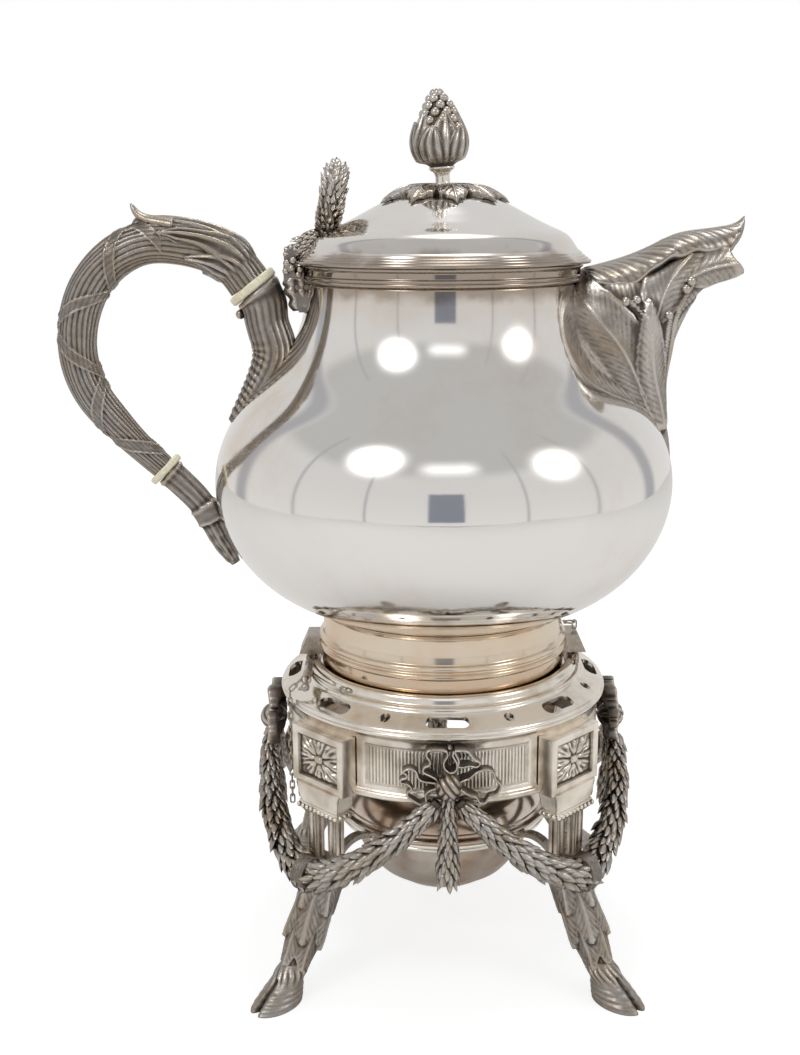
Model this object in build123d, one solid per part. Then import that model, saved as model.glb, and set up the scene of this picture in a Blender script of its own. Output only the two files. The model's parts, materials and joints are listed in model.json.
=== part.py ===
from build123d import *
import math
import os

# Silver spirit kettle on its four-legged stand, in millimetres.
# Origin: on the stand's axis, at the level of the hoof soles. +Z up, spout towards +X,
# handle and lid hinge towards -X. The kettle tilts about the pin on the spout side.

# ---------------------------------------------------------------- driving sizes
# Stand, from the floor up
LEG_COUNT = 4
LEG_HEIGHT = 57.0
KNEE_HEIGHT = 4.5
POST_HEIGHT = 24.5
CAPITAL_HEIGHT = 14.5
DRUM_HEIGHT = 31.5
SHOULDER_EDGE = 4.0
SHOULDER_RISE = 5.2
RIM_RISE = 5.8
HOOF_HEIGHT = 14.5
HOOF_LENGTH = 26.0
HOOF_WIDTH = 20.0
HOOF_RADIUS = 114.0            # axis of the stand to the middle of a sole
HOOF_CLEFT = 2.2
PASTERN_RADIUS = 104.0
PASTERN_WIDTH = 10.0
KNEE_RADIUS = 80.6             # axis of the stand to the middle of a post
KNEE_WIDTH = 22.0
KNEE_DEPTH = 13.0
LEG_TOP_WIDTH = 18.0
POST_SIDE = 6.0
POST_SPACING = 14.0
ABACUS_HEIGHT = 6.0
ABACUS_WIDTH = 27.0
CAPITAL_WIDTH = 33.0
CAPITAL_DEPTH = 11.0
ABACUS_BEVEL = (1.5, 1.0, 1.6) # narrower, thinner, and its height
CAPITAL_SPREAD = 1.2
LEG_THICKNESS_SHARE = 0.84     # leg's thickness as a share of its width
LEG_SHAPE = ((0.0, 0.0, 0.0), (0.28, 0.22, 0.66), (0.6, 0.55, 0.9), (0.88, 0.85, 1.0), (1.0, 1.0, 1.0))
HOOF_WALL = (2.0, 0.45, 1.5, 0.8)   # setback, height share, and narrowing of the hoof's middle section
HOOF_CROWN = (0.5, 0.52)
HOOF_CLEFT_SHARE = 0.7
# Drum and shoulder
DRUM_RADIUS = 78.0
DRUM_LIP = 2.2
DRUM_LIP_HEIGHT = 3.5
DRUM_WALL = 1.6
DRUM_BEVEL = 1.0
SHOULDER_RADIUS = 81.2
SHOULDER_WALL = 1.6
SHOULDER_BEVEL = 1.0
RING_STEP = (1.2, 1.6)         # step of the rim ring inwards and up
RIM_BEVEL = (0.8, 1.0)
RING_RADIUS = 69.0             # foot of the stepped rim ring
RIM_RADIUS = 64.6              # outside of the rim's top edge
SEAT_DEPTH = 4.4
SEAT_WIDTH = 6.0
SEAT_PLAY = 1.3
VENT_COUNT = 8
VENT_RADIUS = 74.2
VENT_LENGTH = 20.0
VENT_WIDTH = 6.4
VENT_HOLE = 5.0
# Plaques and their rosettes
PLAQUE_WIDTH = 35.0
PLAQUE_HEIGHT = 25.5
PLAQUE_FACE = 85.5
PLAQUE_LIFT = 2.6
PLAQUE_FRAME = 4.2
PLAQUE_POCKET = 1.9
PLAQUE_ROOT = 6.0              # plaque's back inside the drum's radius
ROSETTE_GAP = 0.6
ROSETTE_DIP = 0.62             # radius between two lobes, as a share of a lobe's
ROSETTE_LOBES = 8
ROSETTE_THICKNESS = 1.6
# Bows, pendants and garlands
BOW_RADIUS = 85.0
BOW_LIFT = 12.5                # knot above the drum's lower edge
BOW_WIDTH = 50.0
BOW_HEIGHT = 30.0
BOW_THICKNESS = 5.0
KNOT_RADIUS = 6.6
KNOT_OUT = 1.0                 # knot's centre beyond the bow's radius
BOW_ROOT = 4.0
BOW_SHIFT = 3.0                # middle of the loops above the knot
BOW_SHAPE = ((0.0, -0.2), (0.5, -0.62), (1.0, -0.4), (0.92, 0.1), (0.5, 0.05), (0.62, 0.8), (0.2, 1.0),
             (0.0, 0.55))
PENDANT_LENGTH = 42.0
PENDANT_WIDTH = 10.5
PENDANT_LAP = 1.2              # drop's top inside the knot
PENDANT_SHAPE = ((0.6, 1.0), (1.0, 5.0), (0.95, 11.0), (0.6, 22.0))   # radius share, height above its tip
PENDANT_NECK = 0.5
GARLAND_THICK = 7.4
GARLAND_THIN = 2.8
GARLAND_DROP = 52.0
GARLAND_HANG = 2.0             # garland's ends below the knot's middle
GARLAND_STEPS = 12
GARLAND_START = 0.09           # share of the half span hidden in the knot
GARLAND_FALL = 1.5             # power of the fall from knot to leg
GARLAND_SWELL = 1.3            # power of the thickening towards the leg
GARLAND_OUTSET = 11.4          # garland centre beyond the post's middle, at the leg
TIE_WIDTH = 6.0
TIE_WALL = 1.0
# Lamp and its ring
LAMP_RING_RADIUS = 53.8
LAMP_RING_WIDTH = 3.6
LAMP_RING_HEIGHT = 4.0
LAMP_RING_RISE = 5.5           # underside of the ring above the leg's top
LAMP_RING_BEVEL = 0.8
LAMP_REST_GAP = 0.2
LAMP_ROOM = 0.4                # around the lamp's flange
LAMP_FLANGE_RADIUS = 54.6
LAMP_FLANGE_HEIGHT = 2.4
LAMP_BOWL_RADIUS = 47.0
LAMP_DEPTH = 43.0
LAMP_DOME_RADIUS = 51.5
LAMP_DOME_HEIGHT = 25.0
LAMP_WALL = 1.2
LAMP_STEPS = 8
BURNER_RADIUS = 13.0
BURNER_STEP = (1.0, 1.6)       # collar's foot below the cover's hole and its ledge above it
BURNER_TAPER = ((2.0, 2.2), (3.0, 5.0))   # inwards and up from the hole
WICK_RADIUS = 4.0
WICK_TUBE_WALL = 0.8
WICK_TUBE_RISE = 9.0
WICK_TUBE_DEPTH = 10.0
WICK_END_GAP = 4.0             # wick's lower end above the lamp's bottom
WICK_RISE = 3.0
WICK_CLEARANCE = 0.05
BRACKET_WIDTH = 4.4
BRACKET_THICKNESS = 2.6
BRACKET_DROP = 2.0             # bracket's outer end below the leg's top
BRACKET_LAP = 2.0              # its ends inside the leg and under the ring's edge
BRACKET_ARCH = 4.2             # rise of its middle above the ring's underside
# Kettle vessel
REST_GAP = 0.2
FOOT_HEIGHT = 31.2
FOOT_NECK_RADIUS = 59.6
FOOT_BAND_RADIUS = 60.4
FOOT_BAND_HEIGHT = 10.6
FOOT_FLANGE_RADIUS = 62.0
FOOT_WALL = 1.5
FOOT_MOULDING = ((0.0, 0.6), (0.0, 2.4), (-1.2, 3.4), (-0.2, 4.6), (-0.2, 6.4))
FOOT_FLARE = ((0.8, 9.0), (0.0, 14.0))
BODY_HEIGHT = 157.0
BELLY_RADIUS = 110.2
BELLY_RISE = 66.0
MOUTH_RADIUS = 63.8
BODY_WALL = 1.2
WALL_SAMPLES = 16
LOWER_CURVE = ((0.47, 0.18), (0.93, 0.64))
UPPER_CURVE = ((0.745, 0.33), (0.345, 0.55), (0.09, 0.77))
COLLAR_HEIGHT = 8.3
COLLAR_RADIUS = 65.6
COLLAR_BEAD = 0.9
MOUTH_BORE = 61.2
# Lid and finial
LID_GAP = 0.3
LID_RADIUS = 69.2
LID_HEIGHT = 31.0
LID_EDGE = 3.6
LID_WALL = 1.4
LID_CREASE_RADIUS = 55.5
LID_CREASE_RISE = 14.2
LID_TOP_RADIUS = 26.5
LID_TOP_RISE = 28.8
LID_BEAD = (2.4, 3.0)          # step of the rim inwards and up
LID_WAIST = (14.0, 7.2)        # bend of the cone beyond the top's radius and above the crease
BEZEL_DEPTH = 8.0
BEZEL_WALL = 1.2
BEZEL_CLEARANCE = 0.9
ROSETTE_RADIUS = 27.4
LEAF_THICKNESS = 1.5
LEAF_COUNT = 8
LEAF_EDGE_DROP = 1.0
LEAF_NOTCH = (0.72, 1.1, 0.28)  # start, end and half width of a notch, as shares of the radius
STEM_HEIGHT = 11.0
STEM_RADIUS = 3.5
STEM_RING = 6.2
STEM_RING_HEIGHT = 1.4
STEM_STEP = 0.8
STEM_FLARE = 3.4
FINIAL_LEAN = 4.0              # degrees towards the handle
STUD_RADIUS = 2.0
STUD_CLEARANCE = 0.05
NUT_RADIUS = 5.0
NUT_HEIGHT = 3.5
BUD_RADIUS = 13.9
BUD_HEIGHT = 23.0
BUD_SHAPE = ((0.8, 0.17), (1.0, 0.48), (0.86, 0.8), (0.6, 1.0))   # shares of radius and height
BERRY_RADIUS = 2.9
BERRY_RINGS = ((8.2, 8, 0.0), (6.4, 7, 4.6), (4.0, 5, 9.0), (0.0, 1, 12.0))
BERRY_BASE = 2.6               # first ring of berries below the bud's top
BERRY_TURN = 9.0               # rise over which the rings turn by one berry
BERRY_CORE = (7.6, 1.5)        # lower and upper radius of the cone inside the berries
# Lid hinge and thumbpiece
HINGE_OUTSET = 6.4             # hinge pin beyond the rim collar
HINGE_DROP = 1.2               # hinge pin below the collar's top
KNUCKLE_RADIUS = 2.6
HINGE_PIN_RADIUS = 1.2
PIN_CLEARANCE = 0.05
HINGE_PIN_HEAD = (1.2, 0.7)    # thickness, and radius beyond the pin's
LID_KNUCKLE_LENGTH = 7.4
SIDE_KNUCKLE_LENGTH = 4.2
KNUCKLE_GAP = 0.2
CORBEL_HEIGHT = 18.0
CORBEL_STEPS = ((-0.6, 5.0), (-0.2, 9.0), (3.0, 11.0))   # beyond the hinge line, below the bracket's top
CORBEL_LEDGE = 3.2
CORBEL_FOOT = (4.2, 10.0)
HINGE_SCROLL = (0.8, 1.6, 3.2) # scroll on the leaf: run, rise above the lid's edge, radius
HINGE_LAP = 1.5
WREATH_RADIUS = 14.5
WREATH_THICKNESS = 10.8
WREATH_LEAN = 11.0
WREATH_SETBACK = 52.0
WREATH_RISE = 27.4
# Kettle lugs and pins
PIN_RADIAL = 66.0
PIN_DROP = 1.0                 # pins below the stand's rim
PIN_RADIUS = 1.3
EAR_RADIUS = 2.4
EAR_THICKNESS = 2.4
EAR_FOOT = 1.0
TONGUE_WIDTH = 5.2
TONGUE_GAP = 0.4
LUG_GAP = 0.25
LUG_HEIGHT = 9.0
LUG_OUTER = 71.6
LUG_TOP_OUTER = 67.6
LUG_WIDTH = 16.0
LUG_ROOT = 4.0                 # lug's inner end inside the foot's neck
LUG_ROOM = 1.0
LOCK_ROOM = 4.0
PIN_HEAD_RADIUS = 2.5
PIN_HEAD_THICKNESS = 1.0
PIN_BALL = 2.25
PIN_EYE = (2.0, 0.55)          # ring's radius and wire
PIN_PLAY = 0.2                 # between a pin's heads and the ears
# Lock pin, drawn back so that only its tip is in the front ear
LOCK_TIP = 2.2
LOCK_COLLAR = 1.2
LOCK_HANDLE_LENGTH = 20.0
LOCK_HANDLE_RADIUS = 2.3
LOCK_NECK_LENGTH = 12.8
LOCK_NECK_RADIUS = 0.9
LOCK_KNOB_RADIUS = 2.1
LOCK_POINT = 0.6
LOCK_BALUSTER = (0.6, 0.25, 0.75, 0.7)   # end radius share; belly's place; waist's radius share and place
# Chain
LINK_WIRE = 0.4
LINK_END = 1.0
LINK_STRAIGHT = 1.25
LINK_PLAY = 0.12
CHAIN_FALL_LINKS = 16
CHAIN_RADIUS_CLEARANCE = 2.6
CHAIN_RING_RADIUS = 2.2
CHAIN_RING_SAG = (0.4, 0.5)    # ring's centre beyond and below the lock pin
CHAIN_START = (1.6, 1.9)       # first link beyond the ring and below the lock pin
CHAIN_TURN = (0.35, 0.62)      # shares of a pitch, back and down, where the chain turns over the edge
EYE_RISE = 4.4                 # eye on the foot above the spout-side lug
EYE_WIRE = 0.45
EYE_STALK = 1.0
STAPLE_WIRE = 0.8
STAPLE_RADIUS = 2.2
STAPLE_ANGLE = 225.0
# Stations of the handle and the spout are (share, out, ...): the share of the height from belly to
# mouth, and the distance beyond the straight line from the belly's edge to the mouth's edge.
# Grip centre line from the upper ring to the lower ring, with its diameter
GRIP_LINE = ((0.995, 27.2, 23.0), (1.088, 38.3, 22.5), (1.16, 53.1, 21.8), (1.2, 70.0, 21.4),
             (1.198, 86.4, 21.2), (1.115, 97.6, 20.6), (0.956, 102.4, 20.2), (0.758, 98.8, 19.6),
             (0.56, 89.0, 19.2), (0.407, 76.2, 18.6), (0.279, 61.4, 16.8), (0.147, 44.4, 14.4),
             (0.029, 27.4, 13.4))
UPPER_RING_DIAMETER = 25.2
UPPER_RING_THICKNESS = 4.0
LOWER_RING_DIAMETER = 18.4
LOWER_RING_THICKNESS = 3.4
TENON_RADIUS = 2.5
TENON_REACH = 7.0
SOCKET_CUP = 4.0               # straight run of a socket under its ring
SOCKET_TAPER = 0.94
UPPER_SOCKET_TAIL = ((0.791, 10.1, 19.0), (0.648, 0.4, 21.0), (0.516, -1.7, 16.0), (0.39, -0.1, 12.0),
                     (0.275, 4.0, 7.0))
LOWER_SOCKET_TAIL = ((-0.081, 11.2, 12.6), (-0.187, -1.3, 12.0), (-0.324, -13.4, 10.0), (-0.462, -27.0, 7.4),
                     (-0.525, -34.2, 4.5))
RIBBON_LIFT = 0.7
RIBBON_WIDTH = 3.6
RIBBON_SLANT = 24.0
RIBBON_STATIONS = (5, 6, 7, 8, 9)
CAP_LIFT = 1.5
CAP_SHIFT = 4.0                # cap's centre line above the grip's
CAP_SPAN = (1, 5)              # first and last grip station under the cap
CAP_TIP_HEIGHT = 19.0
CAP_TIP = ((3.0, -2.0, 7.0), (-1.0, 2.4, 4.9))   # tip's foot: run and rise from the crown, diameter
CAP_TIP_END = (-4.6, 1.6)      # tip's end: run from the crown, diameter
# Spout sections, with half height, half width and slope of the way in degrees
SPOUT_SECTIONS = ((0.571, -17.7, 43.0, 37.0, 20.0), (0.659, 5.4, 40.5, 34.0, 22.0),
                  (0.797, 23.3, 29.0, 27.0, 18.0), (0.934, 38.1, 21.0, 20.0, 14.0),
                  (1.055, 53.7, 15.6, 15.0, 10.0), (1.115, 66.6, 12.0, 13.0, 4.0),
                  (1.127, 76.1, 11.2, 13.0, 0.0))
SPOUT_WALL = 1.5
SPOUT_TAIL = ((0.505, 8.3, 15.0), (0.385, 7.2, 14.0), (0.264, 3.8, 12.0), (0.154, 2.9, 9.6),
              (0.049, 1.7, 8.0), (-0.038, -0.4, 4.4))
TAIL_SQUEEZE = 0.75
TOP_LEAF_LINE = ((1.073, 8.1), (1.103, 22.4), (1.169, 41.1), (1.233, 56.0),
                 (1.27, 77.7), (1.33, 92.1))
TOP_LEAF_THICKNESS = 1.7
TOP_LEAF_HALF_WIDTH = 15.0
TOP_LEAF_SKEW = 0.4
BERRY_DIAMETER = 4.0
BERRY_STANDOFF = 0.6
STRAINER_HOLE = 3.4
STRAINER_ROWS = 5
STRAINER_COLUMNS = 5
STRAINER_PITCH = 7.5
STRAINER_SHARE = 0.659         # middle of the strainer, as a share of the height from belly to mouth
SPOUT_BERRIES = ((0.94, 17.4), (0.951, 22.9), (0.835, 32.1), (1.016, 54.0))

# ---------------------------------------------------------------- levels that follow
Z_KNEE = LEG_HEIGHT
Z_POST = Z_KNEE + KNEE_HEIGHT
Z_CAPITAL = Z_POST + POST_HEIGHT
Z_DRUM = Z_CAPITAL + CAPITAL_HEIGHT
Z_SHOULDER = Z_DRUM + DRUM_HEIGHT
Z_SLOPE = Z_SHOULDER + SHOULDER_EDGE
Z_RING = Z_SLOPE + SHOULDER_RISE
Z_RIM = Z_RING + RIM_RISE
Z_SEAT = Z_RIM - SEAT_DEPTH
Z_FOOT = Z_SEAT + REST_GAP
Z_BODY = Z_FOOT + FOOT_HEIGHT
Z_BELLY = Z_BODY + BELLY_RISE
Z_MOUTH = Z_BODY + BODY_HEIGHT
Z_COLLAR = Z_MOUTH + COLLAR_HEIGHT
Z_LID = Z_COLLAR + LID_GAP
Z_LID_TOP = Z_LID + LID_HEIGHT
Z_PIN = Z_RIM - PIN_DROP
Z_HINGE = Z_COLLAR - HINGE_DROP
Z_LAMP_RING = Z_KNEE + LAMP_RING_RISE
Z_LAMP = Z_LAMP_RING + LAMP_RING_HEIGHT + LAMP_REST_GAP
X_HINGE = -(COLLAR_RADIUS + HINGE_OUTSET)
SEAT_WALL_RADIUS = FOOT_BAND_RADIUS + SEAT_PLAY
SEAT_BORE = SEAT_WALL_RADIUS - SEAT_WIDTH
QUARTERS = [360.0 / LEG_COUNT * k for k in range(LEG_COUNT)]
CORNERS = [180.0 / LEG_COUNT + a for a in QUARTERS]
EAR_INSIDE = TONGUE_WIDTH / 2 + TONGUE_GAP
EAR_OUTSIDE = EAR_INSIDE + EAR_THICKNESS


# ---------------------------------------------------------------- helpers
def placed(line, side):
    """Stations as (x, z, ...) from (share, out, ...), at the spout (side 1) or the handle (side -1)."""
    stations = []
    for share, out, *sizes in line:
        radius = BELLY_RADIUS + share * (MOUTH_RADIUS - BELLY_RADIUS)
        stations.append((side * (radius + out), Z_BELLY + share * (Z_MOUTH - Z_BELLY), *sizes))
    return tuple(stations)


def upright(points):
    """Face in the XZ plane from (x, z) corners."""
    return make_face(Plane.XZ * Polyline(*points, close=True))


def spin(points):
    """Solid of revolution about Z from (radius, z) corners."""
    return revolve(upright(points), Axis.Z, 360)


def turned(shape, angles):
    """Copies of a shape, turned about Z."""
    return [Rot(0, 0, a) * shape for a in angles]


def block(x0, x1, y0, y1, z0, z1):
    """Box between two corners."""
    return Pos((x0 + x1) / 2, (y0 + y1) / 2, (z0 + z1) / 2) * Box(x1 - x0, y1 - y0, z1 - z0)


def rod(start, way, radius, length):
    """Cylinder from a point along a direction."""
    return extrude(Plane(origin=start, z_dir=way) * Circle(radius), length)


def rod_y(x, z, y0, y1, radius):
    """Cylinder along Y between two Y values."""
    return rod((x, y0, z), (0, 1, 0), radius, y1 - y0)


def way_at(line, k):
    """Unit direction of a line of (x, z, ...) stations at station k."""
    a, b = line[max(k - 1, 0)], line[min(k + 1, len(line) - 1)]
    dx, dz = b[0] - a[0], b[1] - a[1]
    size = math.hypot(dx, dz)
    return dx / size, dz / size


def round_loft(line, grow=0.0, squeeze=1.0):
    """Tapered bar through (x, z, diameter) stations in the XZ plane."""
    faces = []
    for k, (x, z, diameter) in enumerate(line):
        dx, dz = way_at(line, k)
        half = diameter / 2 + grow
        plane = Plane(origin=(x, 0, z), x_dir=(0, 1, 0), z_dir=(dx, 0, dz))
        faces.append(plane * Ellipse(half, half * squeeze))
    return loft(faces)


def link(centre, way, flat):
    """One oval chain link: its long axis along way, its plane's normal along flat."""
    plane = Plane(origin=centre, x_dir=way, z_dir=flat)
    wire = Circle(LINK_WIRE)
    ends = [Pos(s * LINK_STRAIGHT, 0, 0) * Torus(LINK_END, LINK_WIRE) for s in (-1, 1)]
    reach = LINK_STRAIGHT + LINK_END + LINK_WIRE
    keep = [block(s * LINK_STRAIGHT, s * reach, -reach, reach, -reach, reach) if s > 0
            else block(-reach, -LINK_STRAIGHT, -reach, reach, -reach, reach) for s in (-1, 1)]
    shape = ends[0] & keep[0]
    shape += ends[1] & keep[1]
    for s in (-1, 1):
        bar = Plane(origin=(-LINK_STRAIGHT, s * LINK_END, 0), z_dir=(1, 0, 0)) * wire
        shape += extrude(bar, 2 * LINK_STRAIGHT)
    return plane * shape


# ---------------------------------------------------------------- kettle vessel
def belly_points():
    """Control points of the vessel's outline, as (radius, z)."""
    lower = [(FOOT_NECK_RADIUS + r * (BELLY_RADIUS - FOOT_NECK_RADIUS), Z_BODY + h * BELLY_RISE)
             for r, h in LOWER_CURVE]
    fall = BODY_HEIGHT - BELLY_RISE
    upper = [(MOUTH_RADIUS + r * (BELLY_RADIUS - MOUTH_RADIUS), Z_BELLY + h * fall)
             for r, h in UPPER_CURVE]
    belly = [(BELLY_RADIUS, Z_BELLY)]
    return [(FOOT_NECK_RADIUS, Z_BODY)] + lower + belly + upper + [(MOUTH_RADIUS, Z_MOUTH)]


def vessel(inset):
    """Solid of the vessel's outline, moved inwards by inset, with a longer neck when inset."""
    curve = Plane.XZ * Spline(*belly_points())
    points = []
    for k in range(WALL_SAMPLES + 1):
        spot = curve @ (k / WALL_SAMPLES)
        slope = curve % (k / WALL_SAMPLES)
        points.append((spot.X - inset * slope.Z, spot.Z + inset * slope.X))
    wall = Plane.XZ * Spline(*points)
    r0, z0 = points[0]
    r1, z1 = points[-1]
    cap = [(r1, z1), (0, z1)] if inset == 0 else [(r1, z1), (r1, Z_MOUTH + inset), (0, Z_MOUTH + inset)]
    rest = Plane.XZ * Polyline(*cap, (0, z0), (r0, z0))
    return revolve(make_face([wall, rest]), Axis.Z, 360)


VESSEL = vessel(0.0)


def strainer_holes():
    """Grid of round holes through the wall behind the spout."""
    holes = []
    for row in range(STRAINER_ROWS):
        for column in range(STRAINER_COLUMNS):
            y = (column - (STRAINER_COLUMNS - 1) / 2) * STRAINER_PITCH
            middle = Z_BELLY + STRAINER_SHARE * (Z_MOUTH - Z_BELLY)
            z = middle + (row - (STRAINER_ROWS - 1) / 2) * STRAINER_PITCH
            holes.append(rod((MOUTH_BORE / 2, y, z), (1, 0, 0), STRAINER_HOLE / 2, BELLY_RADIUS))
    return holes


def kettle_body():
    return VESSEL - vessel(BODY_WALL) - strainer_holes()


def rim_collar():
    r, z, bead = COLLAR_RADIUS, Z_MOUTH, COLLAR_BEAD
    points = [(MOUTH_BORE, z), (r - bead, z), (r, z + bead), (r, z + 2 * bead), (r - bead, z + 3 * bead),
              (r - bead, Z_COLLAR - 3 * bead), (r, Z_COLLAR - 2 * bead), (r, Z_COLLAR), (MOUTH_BORE, Z_COLLAR)]
    return spin(points)


def foot_outline():
    """Outside of the foot, from its lower edge up to the vessel, as (radius, z)."""
    z = Z_FOOT + FOOT_BAND_HEIGHT
    band = [(FOOT_BAND_RADIUS, Z_FOOT), (FOOT_BAND_RADIUS, z)]
    moulding = [(FOOT_FLANGE_RADIUS + out, z + rise) for out, rise in FOOT_MOULDING]
    flare = [(FOOT_NECK_RADIUS + out, z + rise) for out, rise in FOOT_FLARE]
    return band + moulding + flare + [(FOOT_NECK_RADIUS, Z_BODY)]


FOOT_SOLID = spin(foot_outline() + [(0, Z_BODY), (0, Z_FOOT)])


def foot_collar():
    inside = FOOT_NECK_RADIUS - FOOT_WALL
    return FOOT_SOLID - rod((0, 0, Z_FOOT), (0, 0, 1), inside, FOOT_HEIGHT)


# ---------------------------------------------------------------- spout
SECTIONS = placed(SPOUT_SECTIONS, 1)


def spout_loft(inset, extra):
    """Duct through the spout's sections; extra lengthens its mouth."""
    faces = []
    last = SECTIONS[-1]
    tail = () if extra == 0 else ((last[0] + extra,) + last[1:],)
    for x, z, half_height, half_width, slope in SECTIONS + tail:
        a = math.radians(slope)
        plane = Plane(origin=(x, 0, z), x_dir=(0, 1, 0), z_dir=(math.cos(a), 0, math.sin(a)))
        faces.append(plane * Ellipse(half_width - inset, half_height - inset))
    return loft(faces)


SPOUT_SOLID = spout_loft(0.0, 0.0)


def spout():
    return SPOUT_SOLID - VESSEL - rim_guard() - spout_loft(SPOUT_WALL, SPOUT_WALL)


def rim_guard():
    """Room kept for the rim collar and the lid's edge above it."""
    return Pos(0, 0, Z_MOUTH) * extrude(Circle(COLLAR_RADIUS), 2 * COLLAR_HEIGHT)


def lid_guard():
    """Room kept for the lid's edge."""
    return Pos(0, 0, Z_COLLAR - LID_GAP) * extrude(Circle(LID_RADIUS + LID_GAP), COLLAR_HEIGHT)


def spout_top_leaf():
    upper = list(placed(TOP_LEAF_LINE, 1))
    lower = [(x + TOP_LEAF_SKEW, z - TOP_LEAF_THICKNESS) for x, z in reversed(upper)]
    side = upright(upper + lower)
    slab = extrude(side, TOP_LEAF_HALF_WIDTH, both=True)
    x0, x1 = upper[0][0], upper[-1][0]
    middle = (x0 + x1) / 2
    reach = (x1 - x0) / 2
    face = Ellipse(reach + TOP_LEAF_SKEW, TOP_LEAF_HALF_WIDTH)
    lens = Pos(middle, 0, Z_BODY) * extrude(face, BODY_HEIGHT + LID_HEIGHT)
    return (slab & lens) - SPOUT_SOLID - lid_guard() - rim_guard()


def spout_tail_leaf():
    return round_loft(placed(SPOUT_TAIL, 1), squeeze=TAIL_SQUEEZE) - VESSEL - SPOUT_SOLID


def spout_berries():
    """Berries seated on both sides of the spout."""
    parts = []
    for x, z in placed(SPOUT_BERRIES, 1):
        sides = [p.Y for p, _ in SPOUT_SOLID.find_intersection_points(Axis((x, 0, z), (0, 1, 0)))]
        reach = max(abs(y) for y in sides)
        for s in (-1, 1):
            parts.append(Pos(x, s * (reach + BERRY_STANDOFF), z) * Sphere(BERRY_DIAMETER / 2) - SPOUT_SOLID)
    return parts


# ---------------------------------------------------------------- handle
GRIP = placed(GRIP_LINE, -1)


def end_station(line, k):
    """Point and outward unit direction at an end of a line."""
    dx, dz = way_at(line, k)
    if k == 0:
        dx, dz = -dx, -dz
    return line[k][0], line[k][1], dx, dz


def ring_at(line, k, diameter, thickness):
    """Disc on the end of a line, and the point and direction beyond it."""
    x, z, dx, dz = end_station(line, k)
    disc = rod((x, 0, z), (dx, 0, dz), diameter / 2, thickness)
    return disc, (x + dx * thickness, z + dz * thickness), (dx, dz)


def tenon(k):
    """Rod from inside the grip, through the insulator, into the socket."""
    line = GRIP
    x, z, dx, dz = end_station(line, k)
    thickness = UPPER_RING_THICKNESS if k == 0 else LOWER_RING_THICKNESS
    start = (x - dx * TENON_REACH, 0, z - dz * TENON_REACH)
    return rod(start, (dx, 0, dz), TENON_RADIUS, 2 * TENON_REACH + thickness)


LAST = len(GRIP) - 1
GRIP_SOLID = round_loft(GRIP)


def handle_grip():
    return GRIP_SOLID - tenon(0) - tenon(LAST)


def insulator(k, diameter, thickness):
    return ring_at(GRIP, k, diameter, thickness)[0] - tenon(k)


def socket(k, diameter, thickness, tail):
    """Cast socket from the insulator down along the vessel."""
    _, (x, z), (dx, dz) = ring_at(GRIP, k, diameter, thickness)
    width = GRIP[k][2]
    start = ((x, z, width), (x + dx * SOCKET_CUP, z + dz * SOCKET_CUP, width * SOCKET_TAPER))
    return round_loft(start + tail) - VESSEL - tenon(k)


def upper_socket():
    return socket(0, UPPER_RING_DIAMETER, UPPER_RING_THICKNESS, placed(UPPER_SOCKET_TAIL, -1))


def lower_socket():
    return socket(LAST, LOWER_RING_DIAMETER, LOWER_RING_THICKNESS, placed(LOWER_SOCKET_TAIL, -1))


def grip_ribbons():
    """Crossing flat bands round the grip."""
    sleeve = round_loft(GRIP, grow=RIBBON_LIFT)
    bands = []
    for k in RIBBON_STATIONS:
        x, z, diameter = GRIP[k]
        dx, dz = way_at(GRIP, k)
        pair = None
        for slant in (-RIBBON_SLANT, RIBBON_SLANT):
            a = math.radians(slant)
            way = (dx * math.cos(a) - dz * math.sin(a), 0, dx * math.sin(a) + dz * math.cos(a))
            plane = Plane(origin=(x, 0, z), z_dir=way)
            slab = extrude(plane * Circle(diameter), RIBBON_WIDTH / 2, both=True)
            pair = slab if pair is None else pair + slab
        bands.append((sleeve & pair) - GRIP_SOLID)
    return bands


def grip_leaf_cap():
    """Leaf saddle on top of the grip, with an upturned tip."""
    first, last = CAP_SPAN
    line = []
    for k in range(first, last + 1):
        x, z, diameter = GRIP[k]
        dx, dz = way_at(GRIP, k)
        shift = CAP_SHIFT if first < k < last else 0.0
        size = diameter - 2 * CAP_SHIFT + (2 * CAP_LIFT if first < k < last else 0.0)
        line.append((x + dz * shift, z - dx * shift, size))
    shell = round_loft(line)
    x, z, diameter = GRIP[last - 1]
    crown = z + diameter / 2
    foot = tuple((x + run, crown + rise, size) for run, rise, size in CAP_TIP)
    tip = round_loft(foot + ((x + CAP_TIP_END[0], z + CAP_TIP_HEIGHT, CAP_TIP_END[1]),))
    return (shell + tip) - GRIP_SOLID


# ---------------------------------------------------------------- lid
def lid_outline(inset):
    """Outline of the lid's top face, as (radius, z), moved inwards by inset."""
    edge, crease = Z_LID + LID_EDGE, Z_LID + LID_CREASE_RISE
    return [(LID_RADIUS - inset, Z_LID), (LID_RADIUS - inset, edge),
            (LID_RADIUS - LID_BEAD[0] - inset, edge + LID_BEAD[1] - inset),
            (LID_CREASE_RADIUS - inset, crease - inset),
            (LID_TOP_RADIUS + LID_WAIST[0] - inset, crease + LID_WAIST[1] - inset),
            (LID_TOP_RADIUS - inset, Z_LID + LID_TOP_RISE - inset),
            (LID_TOP_RADIUS / 2, Z_LID_TOP - inset), (0, Z_LID_TOP - inset)]


LID_SOLID = spin(lid_outline(0.0) + [(0, Z_LID)])


def stud_bore():
    return rod((0, 0, Z_LID), (0, 0, 1), STUD_RADIUS + STUD_CLEARANCE, 2 * LID_HEIGHT)


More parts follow.
